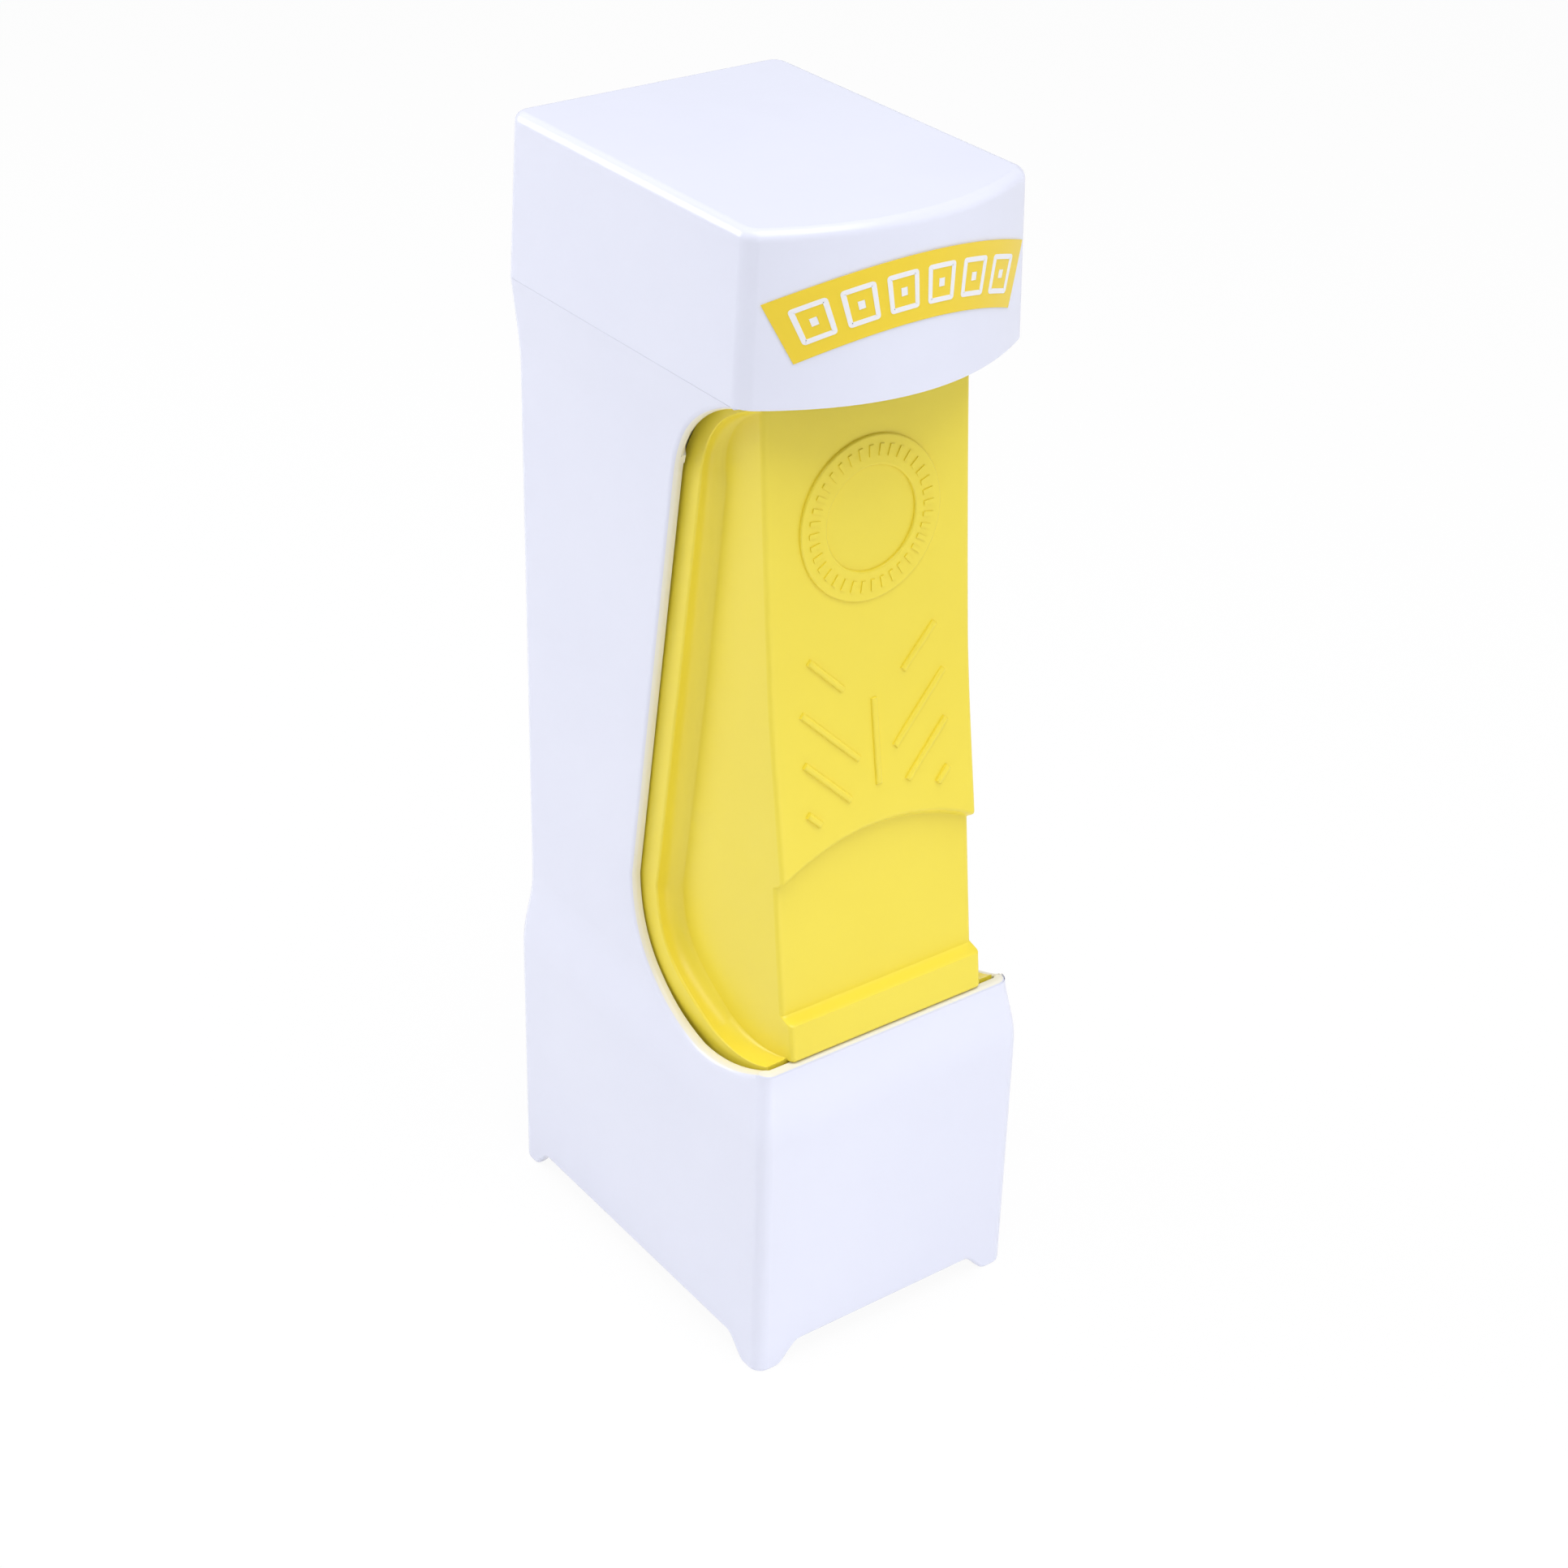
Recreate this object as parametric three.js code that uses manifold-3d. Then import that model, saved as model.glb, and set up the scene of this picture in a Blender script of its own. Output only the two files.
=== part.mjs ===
// Butter cutter dispenser. Millimetres, +Z up, the squeeze lever faces -Y.
// The origin is the middle of the footprint, at the height of the feet.
import * as THREE from 'three';
import { mergeVertices } from 'three/addons/utils/BufferGeometryUtils.js';
import Module from 'manifold-3d';

const wasm = await Module();
wasm.setup();

// Driving dimensions. A setback is counted from the front of the base, a rise from the start of
// the waist, and a drop from the piece named beside it.
const depth = 76;
const height = 203;
const gap = { seat: 0.3, running: 0.6, parting: 0.15, overrun: 4 };
const butter = { side: 32, play: 0.5, pat: 6 };
const chamber = { wall: 1.2, floorDrop: 1.5, neck: 10, rim: 1.4 };
const casing = {
  wall: 1.9, flareX: 2.6, flareFront: 2, flareBack: 2, frontRadius: 2.5, backRadius: 3,
  skirt: 51, flareHeight: 10, shoulderHeight: 13,
};
const foot = { width: 9.5, arch: 3.9, slope: 2.5 };
const lid = {
  height: 27, wall: 1.8, roof: 2, inset: 0.5, draft: 1, backInset: 0.3, backDraft: 0.7,
  frontSetback: 11.2, frontRadius: 2, backRadius: 3, bowTop: 7.2, bowBottom: 9.2, edge: 1.2,
};
const band = {
  topHalf: 24.2, bottomHalf: 20, rise: 11.2, height: 10, topSag: 5, bottomSag: 4.1,
  thickness: 0.4, standoff: 0.1,
};
const cutout = {
  hornSetback: 11.5, crownSetback: 27.2, crownDrop: 5, shoulderSetback: 29.2, shoulderDrop: 17.2,
  heelSetback: 40.9, heelRise: 19, bendSetback: 40.4, bendDrop: 0.7, soleSetback: 20.5, soleDrop: 3.8,
  toeSetback: 12, toeDrop: 4.3, frontSetback: 1, frontRise: 0.4,
};
const lever = {
  wall: 1.6, brim: 2.5, brimShow: 1.8, brimTuck: 1.2, faceSetback: 15.1, faceSag: 0.85,
  crown: 4.5, crownBack: 2.6, ear: 3.2, tailDrop: 4, tailWall: 1.8,
};
const thumbRest = { depth: 0.85, ledge: 6.4, arch: 36.8, archSag: 5.2 };
const relief = { raise: 0.4, ringRise: 87, ringRadius: 12.5, ringWidth: 3 };
const ray = { rise: 68, spread: 14.2, pitch: 8.5, length: 15, width: 0.8, centreRise: 43.5 };
const pivot = { aboveLidEdge: 5, behindFace: 4.9 };
const axle = { radius: 1.5, fit: 0.15 };
const bush = { wall: 1, flange: 0.7, flangeReach: 0.8 };
const clip = { thickness: 0.6, reach: 1.4 };
const spring = { wire: 0.9, coilRadius: 2.5, turns: 6.5, pitch: 1.45, legDrop: 20 };
const collar = {
  wall: 1.7, frontWall: 1.2, rise: 14, seatDrop: 3.8, backInset: 0.8, radius: 5, lug: 2.5,
  lugLength: 7, lugFront: 43, lugBack: 6, rib: 3.7, ribReach: 3.7, ribFront: 4.1, ribBack: 3,
};
const boss = { collar: 14, rail: 6, railLength: 6, studRadius: 3, studReach: 0.6 };
const keeper = { wall: 1.3, flange: 1.4, tongue: 1.8, rise: 4.5, height: 26 };
const rail = { lip: 1.3, land: 3.5, frontSetback: 6, backSetback: 6.5, screwFront: 18, screwBack: 13 };
const carriage = {
  bar: 1.6, tongue: 2.6, tongueReach: 3.6, crossBar: 2, crossHeight: 6, frontSetback: 6.5, rear: 1.6,
};
const blade = { thickness: 0.8, bevel: 1.5, lap: 1 };
const fork = { width: 8, play: 0.45, depth: 9.3, pinSetback: 10.5, pinDrop: 6, bridge: 2.5 };
const pin = { radius: 1.5, fit: 0.2, head: 0.6, headReach: 0.7 };
const screw = { radius: 0.9, fit: 0.2, headRadius: 1.7, head: 1.2, length: 8 };
const rivet = { radius: 0.45, fit: 0.1, headRadius: 0.7, head: 0.3, length: 4, setback: 4 };
const ledge = {
  thickness: 0.8, reach: 4.4, web: 1.4, webHeight: 15, sideGap: 0.8, screwSpread: 8, screwGrip: 1.3,
};
const follower = { plate: 2.5, rim: 1.3, rimHeight: 2, knobRadius: 5, knobHeight: 7, tab: 5, tabHeight: 6 };
const slot = { play: 0.5, rise: 4.5 };
const steps = { corner: 6, bow: 16, curve: 8, face: 8, round: 20, small: 12, wire: 6, turn: 10, edge: 3 };

// Widths, worked outwards from the stick of butter.
const chamberInner = butter.side / 2 + butter.play;
const chamberOuter = chamberInner + chamber.wall;
const cheekInner = chamberOuter + gap.running;
const cheekOuter = cheekInner + lever.wall;
const brimOuter = cheekOuter + lever.brim;
const waistInner = brimOuter + gap.running;
const waistHalf = waistInner + casing.wall;
const baseHalf = waistHalf + casing.flareX;
const baseInner = baseHalf - casing.wall;
const lidHalf = baseHalf - lid.inset;
const collarHalf = waistInner + collar.wall - gap.seat;
const collarInner = collarHalf - collar.wall;
const ribInner = collarInner - collar.ribReach;
const barInner = chamberOuter - carriage.bar;
const tongueOuter = chamberOuter + carriage.tongueReach;
const railOuter = baseInner - gap.seat;
const outsideHalf = baseHalf + gap.overrun;

// Heights, up from the feet.
const waistStart = casing.skirt + casing.flareHeight;
const lidBottom = height - lid.height;
const pivotHeight = lidBottom + pivot.aboveLidEdge;
const shoulderStart = lidBottom - casing.shoulderHeight;
const seatHeight = lidBottom - collar.seatDrop;
const collarBottom = seatHeight + gap.seat;
const chamberBottom = waistStart - chamber.floorDrop;
const chamberTop = lidBottom + chamber.neck;
const ribTop = chamberTop - gap.seat;
const bladeTop = chamberBottom - gap.running;
const bladeBottom = bladeTop - blade.thickness;
const ledgeTop = bladeBottom - butter.pat;
const ledgeScrewHeight = ledgeTop - ledge.webHeight / 2;
const barTop = bladeBottom - gap.seat;
const pinHeight = bladeBottom - fork.pinDrop;
const forkBottom = bladeBottom - fork.depth;
const railTop = forkBottom - 2 * gap.running;
const railBossBottom = railTop + gap.seat;
const tongueTop = railTop - rail.lip - gap.seat;
const tongueBottom = tongueTop - carriage.tongue;
const railBottom = tongueBottom - gap.seat - rail.lip;
const lipBottom = waistStart + cutout.frontRise + gap.seat;
const tailBottom = waistStart - lever.tailDrop;

// Places along the depth, from the front of the base at -Y to its back at +Y.
const baseFront = -depth / 2;
const baseBack = depth / 2;
const outsideFront = baseFront - gap.overrun;
const waistFront = baseFront + casing.flareFront;
const waistBack = baseBack - casing.flareBack;
const innerFront = waistFront + casing.wall;
const innerBack = waistBack - casing.wall;
const lidFront = baseFront + lid.frontSetback;
const lidBack = baseBack - lid.backInset;
const collarFront = lidFront + lid.wall + gap.seat;
const collarBack = innerBack + collar.wall - collar.backInset;
const chamberBack = collarBack - collar.wall - gap.seat;
const chamberFrontInner = innerBack - butter.side - 2 * butter.play;
const chamberFront = chamberFrontInner - chamber.wall;
const bladeEdge = chamberFrontInner - butter.play;
const barFront = baseFront + carriage.frontSetback;
const pinPlace = baseFront + fork.pinSetback;
const tailFront = innerFront + gap.seat;
const studFront = baseBack - casing.wall - boss.studReach;
const ledgeBack = studFront - gap.seat;

// The lever's front face leans forwards going down, and is slightly hollow between its ends.
const faceTop = baseFront + lever.faceSetback;
const faceAt = (z) => {
  const share = (z - waistStart) / (lidBottom - waistStart);
  return innerFront + (faceTop - innerFront) * share + 4 * lever.faceSag * share * (1 - share);
};
const pivotPlace = faceAt(pivotHeight) + pivot.behindFace;
const earBack = pivotPlace + axle.radius + lever.ear;

// Screw and rivet places.
const sides = { left: -1, right: 1 };
const ends = ['front', 'back'];
const fourPlaces = (x, front, back) => Object.entries(sides).flatMap(([side, sign]) => (
  ends.map((end) => ({ name: `${side}_${end}`, sign, x: sign * x, y: end === 'front' ? front : back }))
));
const ribFront = chamberFront + collar.ribFront;
const ribBack = chamberBack - collar.ribBack;
const collarScrews = fourPlaces(
  (cheekInner + collarInner) / 2,
  baseFront + collar.lugFront + collar.lugLength / 2,
  baseBack - collar.lugBack - collar.lugLength / 2,
);
const railScrews = fourPlaces(
  railOuter - rail.land / 2, baseFront + rail.screwFront, baseBack - rail.screwBack,
);
const bladeRivets = fourPlaces(
  (barInner + chamberOuter) / 2, barFront + rivet.setback, bladeEdge - blade.bevel - rivet.setback,
);
const chamberScrews = Object.entries(sides).map(([name, sign]) => ({
  name, sign, x: sign * (ribInner + collarInner) / 2, y: (ribFront + ribBack) / 2,
}));
const ledgeScrews = Object.entries(sides).map(([name, sign]) => ({ name, x: sign * ledge.screwSpread }));

const finish = (color, roughness, metalness = 0) => (
  new THREE.MeshStandardMaterial({ color, roughness, metalness })
);
const whitePlastic = finish(0xf0f0fa, 0.3);
const yellowPlastic = finish(0xf0dc50, 0.38);
const yellowPrint = finish(0xf2d02c, 0.45);
const innerPlastic = finish(0xf4f4f6, 0.35);
const nylon = finish(0xe4e2da, 0.5);
const steel = finish(0xb9bcc0, 0.3, 1);

const part = new THREE.Group();

function solidOf(geometry) {
  geometry.deleteAttribute('normal');
  geometry.deleteAttribute('uv');
  const merged = mergeVertices(geometry);
  return new wasm.Manifold(new wasm.Mesh({
    numProp: 3,
    vertProperties: new Float32Array(merged.attributes.position.array),
    triVerts: new Uint32Array(merged.index.array),
  }));
}

function add(name, solid, material) {
  const { vertProperties, triVerts } = solid.getMesh();
  const geometry = new THREE.BufferGeometry();
  geometry.setAttribute('position', new THREE.BufferAttribute(vertProperties, 3));
  geometry.setIndex(new THREE.BufferAttribute(triVerts, 1));
  geometry.computeVertexNormals();
  const mesh = new THREE.Mesh(geometry, material);
  mesh.name = name;
  part.add(mesh);
}

const join = (solids) => solids.reduce((whole, next) => whole.add(next));
const cut = (solid, tools) => tools.reduce((rest, tool) => rest.subtract(tool), solid);

const unitX = new THREE.Vector3(1, 0, 0);
const unitY = new THREE.Vector3(0, 1, 0);
const unitZ = new THREE.Vector3(0, 0, 1);

function extruded(points, length, basis, origin) {
  const shape = new THREE.Shape(points.map(([a, b]) => new THREE.Vector2(a, b)));
  const geometry = new THREE.ExtrudeGeometry(shape, { depth: length, bevelEnabled: false });
  return solidOf(geometry.applyMatrix4(new THREE.Matrix4().makeBasis(...basis).setPosition(...origin)));
}

// A (y, z) outline run along X, an (x, z) outline run along Y and an (x, y) outline run along Z.
const alongX = (points, from, to) => extruded(points, to - from, [unitY, unitZ, unitX], [from, 0, 0]);
const alongY = (points, from, to) => (
  extruded(points, to - from, [unitX, unitZ, unitY.clone().negate()], [0, to, 0])
);
const alongZ = (points, from, to) => extruded(points, to - from, [unitX, unitY, unitZ], [0, 0, from]);

const block = ([x0, x1], [y0, y1], [z0, z1]) => alongZ([[x0, y0], [x1, y0], [x1, y1], [x0, y1]], z0, z1);

// A block on the side named by -1 or 1, between two distances from the middle.
const sideBlock = (sign, near, far, ySpan, zSpan) => (
  block(sign > 0 ? [near, far] : [-far, -near], ySpan, zSpan)
);

function rod(radius, length, sideCount, place, axis = 'z') {
  const geometry = new THREE.CylinderGeometry(radius, radius, length, sideCount);
  if (axis === 'z') geometry.rotateX(Math.PI / 2);
  if (axis === 'x') geometry.rotateZ(Math.PI / 2);
  return solidOf(geometry.translate(...place));
}

const holeAlongX = (radius, z, y) => rod(radius, 2 * outsideHalf, steps.round, [0, y, z], 'x');
const screwHole = ({ x, y }, from, to) => (
  rod(screw.radius + screw.fit, to - from, steps.small, [x, y, (from + to) / 2])
);

// A blind hole that goes through the blade and into the carriage's bar.
const rivetHole = ({ x, y }) => (
  rod(rivet.radius + rivet.fit, 2 * (rivet.length - blade.thickness), steps.small, [x, y, barTop])
);

// Rings of points, each closed by a flat end and joined to the next.
function loft(rings) {
  const count = rings[0].length;
  const index = [];
  for (let ring = 0; ring + 1 < rings.length; ring += 1) {
    for (let i = 0; i < count; i += 1) {
      const a = ring * count + i;
      const b = ring * count + ((i + 1) % count);
      index.push(a, b, b + count, a, b + count, a + count);
    }
  }
  const flat = (ring) => ring.map(([x, y]) => new THREE.Vector2(x, y));
  const last = (rings.length - 1) * count;
  for (const [a, b, c] of THREE.ShapeUtils.triangulateShape(flat(rings[0]), [])) index.push(c, b, a);
  for (const [a, b, c] of THREE.ShapeUtils.triangulateShape(flat(rings.at(-1)), [])) {
    index.push(last + a, last + b, last + c);
  }
  const geometry = new THREE.BufferGeometry();
  geometry.setAttribute('position', new THREE.Float32BufferAttribute(rings.flat(2), 3));
  geometry.setIndex(index);
  return solidOf(geometry);
}

// A rounded rectangle seen from above, whose front may bow forwards.
function plan({ half, front, back, frontRadius, backRadius, bow = 0 }, z) {
  const points = [];
  const corner = (x, y, radius, from) => {
    for (let i = 0; i <= steps.corner; i += 1) {
      const angle = from + (Math.PI / 2) * (i / steps.corner);
      points.push([x + radius * Math.cos(angle), y + radius * Math.sin(angle)]);
    }
  };
  corner(half - backRadius, back - backRadius, backRadius, 0);
  corner(backRadius - half, back - backRadius, backRadius, Math.PI / 2);
  corner(frontRadius - half, front + frontRadius, frontRadius, Math.PI);
  for (let i = 1; i < steps.bow; i += 1) {
    points.push([(half - frontRadius) * (2 * (i / steps.bow) - 1), front]);
  }
  corner(half - frontRadius, front + frontRadius, frontRadius, 1.5 * Math.PI);
  const bowAt = (x, y) => {
    const fade = Math.max(1 - (y - front) / frontRadius, 0);
    return bow * (1 - (x / half) ** 2) * fade;
  };
  return points.map(([x, y]) => [x, y - bowAt(x, y), z]);
}

// The outline of a plan drawn in by an even wall.
const inward = (p, wall) => ({
  ...p,
  half: p.half - wall,
  front: p.front + wall,
  back: p.back - wall,
  frontRadius: Math.max(p.frontRadius - wall, gap.seat),
  backRadius: Math.max(p.backRadius - wall, gap.seat),
});

// The side cutout's edge as (y, z) points from the lid down to the front wall, moved out by offset.
function cutoutEdge(offset) {
  const at = (setback, z) => new THREE.Vector2(baseFront + setback, z);
  const horn = at(cutout.hornSetback, lidBottom);
  const crown = at(cutout.crownSetback, lidBottom - cutout.crownDrop);
  const shoulder = at(cutout.shoulderSetback, lidBottom - cutout.shoulderDrop);
  const heel = at(cutout.heelSetback, waistStart + cutout.heelRise);
  const bend = at(cutout.bendSetback, waistStart - cutout.bendDrop);
  const sole = at(cutout.soleSetback, waistStart - cutout.soleDrop);
  const toe = at(cutout.toeSetback, waistStart - cutout.toeDrop);
  const front = at(cutout.frontSetback, waistStart + cutout.frontRise);
  const curves = [
    new THREE.QuadraticBezierCurve(horn, crown, shoulder),
    new THREE.LineCurve(shoulder, heel),
    new THREE.QuadraticBezierCurve(heel, bend, sole),
    new THREE.QuadraticBezierCurve(sole, toe, front),
  ];
  const points = [];
  curves.forEach((curve, place) => {
    const count = curve.type === 'LineCurve' ? 2 : steps.curve;
    for (let i = place === 0 ? 0 : 1; i <= count; i += 1) {
      const point = curve.getPoint(i / count);
      const tangent = curve.getTangent(i / count);
      points.push([point.x - tangent.y * offset, point.y + tangent.x * offset]);
    }
  });
  return points;
}

// All that lies in front of the cutout's edge.
function cutoutBlock(offset) {
  const edge = cutoutEdge(offset);
  const outline = [[outsideFront, edge[0][1]], ...edge, [outsideFront, edge.at(-1)[1]]];
  return alongX(outline, -outsideHalf, outsideHalf);
}

// The low arches between the four corner feet.
function footArches() {
  const arch = (reach) => {
    const half = reach - foot.width;
    return [
      [-half, -gap.overrun], [half, -gap.overrun], [half, 0],
      [half - foot.slope, foot.arch], [foot.slope - half, foot.arch], [-half, 0],
    ];
  };
  return [
    alongY(arch(baseHalf), outsideFront, -outsideFront),
    alongX(arch(baseBack), -outsideHalf, outsideHalf),
  ];
}

function bodyCasing() {
  const radii = { frontRadius: casing.frontRadius, backRadius: casing.backRadius };
  const basePlan = { half: baseHalf, front: baseFront, back: baseBack, ...radii };
  const waistPlan = { half: waistHalf, front: waistFront, back: waistBack, ...radii };
  const shoulderPlan = {
    half: lidHalf, front: lidFront, back: lidBack,
    frontRadius: lid.frontRadius, backRadius: lid.backRadius,
  };
  const outer = loft([
    plan(basePlan, 0), plan(basePlan, casing.skirt), plan(waistPlan, waistStart),
    plan(waistPlan, shoulderStart), plan(shoulderPlan, lidBottom),
  ]);
  const above = lidBottom + gap.overrun;
  const inner = loft([
    plan(inward(basePlan, casing.wall), -gap.overrun), plan(inward(basePlan, casing.wall), casing.skirt),
    plan(inward(waistPlan, casing.wall), waistStart), plan(inward(waistPlan, casing.wall), above),
  ]);
  const seatPlan = {
    half: collarHalf + gap.seat, front: waistFront, back: collarBack + gap.seat,
    frontRadius: gap.seat, backRadius: collar.radius,
  };
  const seat = loft([plan(seatPlan, seatHeight), plan(seatPlan, above)]);
  const hold = casing.wall / 2;
  const collarBosses = collarScrews.map(({ sign, y }) => sideBlock(
    sign, cheekInner, waistInner + hold,
    [y - collar.lugLength / 2, y + collar.lugLength / 2], [seatHeight - boss.collar, seatHeight],
  ));
  const railBosses = railScrews.map(({ sign, y }) => sideBlock(
    sign, railOuter - rail.land, baseInner + hold,
    [y - boss.railLength / 2, y + boss.railLength / 2], [railBossBottom, railBossBottom + boss.rail],
  ));
  const keeperBack = chamberBack - keeper.flange - gap.seat;
  const keeperBottom = waistStart + keeper.rise;
  const keepers = Object.values(sides).map((sign) => sideBlock(
    sign, cheekInner, waistInner + hold, [keeperBack - keeper.wall, keeperBack],
    [keeperBottom, keeperBottom + keeper.height],
  ));
  const studLength = boss.studReach + hold;
  const studs = ledgeScrews.map(({ x }) => rod(
    boss.studRadius, studLength, steps.small, [x, studFront + studLength / 2, ledgeScrewHeight], 'y',
  ));
  const holes = [
    ...collarScrews.map((place) => screwHole(place, seatHeight - screw.length, above)),
    ...railScrews.map((place) => screwHole(place, railBottom, railBossBottom + boss.rail - hold)),
    ...ledgeScrews.map(({ x }) => rod(
      screw.radius + screw.fit, 2 * ledge.screwGrip, steps.small, [x, studFront, ledgeScrewHeight], 'y',
    )),
  ];
  const shell = cut(outer, [inner, seat, ...footArches()]);
  const moulding = join([shell, ...collarBosses, ...railBosses, ...keepers, ...studs]);
  return cut(moulding, [cutoutBlock(0), ...holes]);
}

// The lid's plan at a height, from its bottom edge to its roof.
function lidPlan(z) {
  const share = (z - lidBottom) / lid.height;
  return {
    half: lidHalf - lid.draft * share,
    front: lidFront,
    back: lidBack - lid.backDraft * share,
    frontRadius: lid.frontRadius,
    backRadius: lid.backRadius,
    bow: lid.bowBottom + (lid.bowTop - lid.bowBottom) * share,
  };
}

function lidCap() {
  const bottom = lidBottom + gap.parting;
  const rings = [plan(lidPlan(bottom), bottom)];
  for (let i = 0; i <= steps.edge; i += 1) {
    const angle = (Math.PI / 2) * (i / steps.edge);
    const z = height - lid.edge * (1 - Math.sin(angle));
    rings.push(plan(inward(lidPlan(z), lid.edge * (1 - Math.cos(angle))), z));
  }
  const insideAt = (z) => inward(lidPlan(z), lid.wall);
  const roof = height - lid.roof;
  return loft(rings).subtract(loft([
    plan(insideAt(bottom), bottom - gap.overrun),
    plan(insideAt(bottom), bottom),
    plan(insideAt(roof), roof),
  ]));
}

// The printed band: a slice of a skin that follows the lid's bowed front.
function lidBand() {
  const skin = (standoff) => loft([lidBottom, height].map((z) => (
    plan({ ...inward(lidPlan(z), -standoff), frontRadius: lid.frontRadius }, z)
  )));
  const shell = skin(band.standoff + band.thickness).subtract(skin(band.standoff));
  const arch = (half, middle, sag) => {
    const points = [];
    for (let i = 0; i <= steps.bow; i += 1) {
      const share = 2 * (i / steps.bow) - 1;
      points.push([half * share, middle - sag * share ** 2]);
    }
    return points;
  };
  const bottom = lidBottom + band.rise;
  const outline = [
    ...arch(band.bottomHalf, bottom, band.bottomSag),
    ...arch(band.topHalf, bottom + band.height, band.topSag).reverse(),
  ];
  return shell.intersect(alongY(outline, outsideFront - lid.bowBottom, 0));
}

// The ring that drops into the casing's top, carries the lever's axle and locates the lid.
function neckCollar() {
  const top = lidBottom + collar.rise;
  const outside = {
    half: collarHalf, front: collarFront, back: collarBack,
    frontRadius: gap.seat, backRadius: collar.radius,
  };
  const inside = { ...inward(outside, collar.wall), front: collarFront + collar.frontWall };
  const ring = loft([plan(outside, collarBottom), plan(outside, top)]).subtract(loft([
    plan(inside, collarBottom - gap.overrun), plan(inside, top + gap.overrun),
  ]));
  const hold = collar.wall / 2;
  const lugs = collarScrews.map(({ sign, y }) => sideBlock(
    sign, cheekInner, collarInner + hold,
    [y - collar.lugLength / 2, y + collar.lugLength / 2], [collarBottom, collarBottom + collar.lug],
  ));
  const ribs = Object.values(sides).map((sign) => sideBlock(
    sign, ribInner, collarInner + hold,
    [ribFront, ribBack], [ribTop - collar.rib, ribTop],
  ));
  const belowFrontBar = block(
    [-outsideHalf, outsideHalf], [outsideFront, faceTop + gap.overrun], [0, lidBottom + gap.seat],
  );
  return cut(join([ring, ...lugs, ...ribs]), [
    belowFrontBar,
    cutoutBlock(gap.seat),
    holeAlongX(axle.radius + axle.fit, pivotHeight, pivotPlace),
    ...collarScrews.map((place) => screwHole(place, seatHeight, collarBottom + collar.lug + gap.seat)),
    ...chamberScrews.map((place) => screwHole(place, ribTop - collar.rib - gap.seat, ribTop + gap.seat)),
  ]);
}

// The butter's channel: open at the back, where the casing closes it, and slotted for the follower.
function butterChamber() {
  const top = chamberTop + chamber.rim;
  const channel = block([-chamberOuter, chamberOuter], [chamberFront, chamberBack], [chamberBottom, top]);
  const rimPlan = {
    half: collarInner - gap.seat, front: chamberFront - gap.running, back: chamberBack,
    frontRadius: gap.seat, backRadius: collar.radius - collar.wall,
  };
  const rim = loft([plan(rimPlan, chamberTop), plan(rimPlan, top)]);
  const flanges = Object.values(sides).map((sign) => sideBlock(
    sign, chamberInner, chamberOuter + keeper.tongue, [chamberBack - keeper.flange, chamberBack],
    [chamberBottom, waistStart + keeper.rise + keeper.height],
  ));
  const slotHalf = follower.tab / 2 + slot.play;
  return cut(join([channel, rim, ...flanges]), [
    block([-chamberInner, chamberInner], [chamberFrontInner, baseBack], [0, height]),
    block(
      [-slotHalf, slotHalf], [outsideFront, chamberFrontInner + gap.seat],
      [chamberBottom + slot.rise, height],
    ),
    ...chamberScrews.map((place) => screwHole(place, ribTop, height)),
  ]);
}

// Points down or up the lever's face, set back into it by inset.
function facePoints(from, to, inset) {
  const points = [];
  for (let i = 0; i <= steps.face; i += 1) {
    const z = from + (to - from) * (i / steps.face);
    points.push([faceAt(z) + inset, z]);
  }
  return points;
}

// The flange that runs round the lever just inside the casing's cutout.
function leverBrim() {
  const keep = ([y, z]) => y > tailFront && (y > faceTop + gap.seat || z < waistStart);
  const outer = cutoutEdge(lever.brimTuck).filter(keep);
  const inner = cutoutEdge(-lever.brimShow).filter(keep);
  const foremost = [[tailFront, outer.at(-1)[1]], [tailFront, inner.at(-1)[1]]];
  const outline = [...outer, ...foremost, ...inner.reverse()];
  const middle = block([-cheekInner, cheekInner], [tailFront + lever.tailWall, baseBack], [0, height]);
  const upper = block([-cheekInner, cheekInner], [outsideFront, baseBack], [lipBottom, height]);
  const roundedPlan = {
    half: brimOuter, front: tailFront, back: baseBack,
    frontRadius: casing.frontRadius - casing.wall, backRadius: gap.seat,
  };
  const rounded = loft([plan(roundedPlan, 0), plan(roundedPlan, height)]);
  return cut(alongX(outline, -brimOuter, brimOuter), [middle, upper]).intersect(rounded);
}

// The sunk thumb rest: an arch above, a straight ledge below.
function thumbHollow() {
  const low = waistStart + thumbRest.ledge;
  const high = waistStart + thumbRest.arch;
  const arch = [];
  for (let i = 0; i <= steps.bow; i += 1) {
    const x = outsideHalf * (2 * (i / steps.bow) - 1);
    arch.push([x, high - thumbRest.archSag * (x / cheekOuter) ** 2]);
  }
  const outline = [[-outsideHalf, low], [outsideHalf, low], ...arch.reverse()];
  const sunk = [[outsideFront, low], ...facePoints(low, high, thumbRest.depth), [outsideFront, high]];
  return alongY(outline, outsideFront, 0).intersect(alongX(sunk, -outsideHalf, outsideHalf));
}

// A shape in low relief on the lever's face.
function raised(outline, bottom, top) {
  const outer = facePoints(bottom, top, -relief.raise);
  const inner = facePoints(bottom, top, lever.wall / 2).reverse();
  const skin = alongX([...outer, ...inner], -outsideHalf, outsideHalf);
  return alongY(outline, outsideFront, 0).intersect(skin);
}

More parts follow.
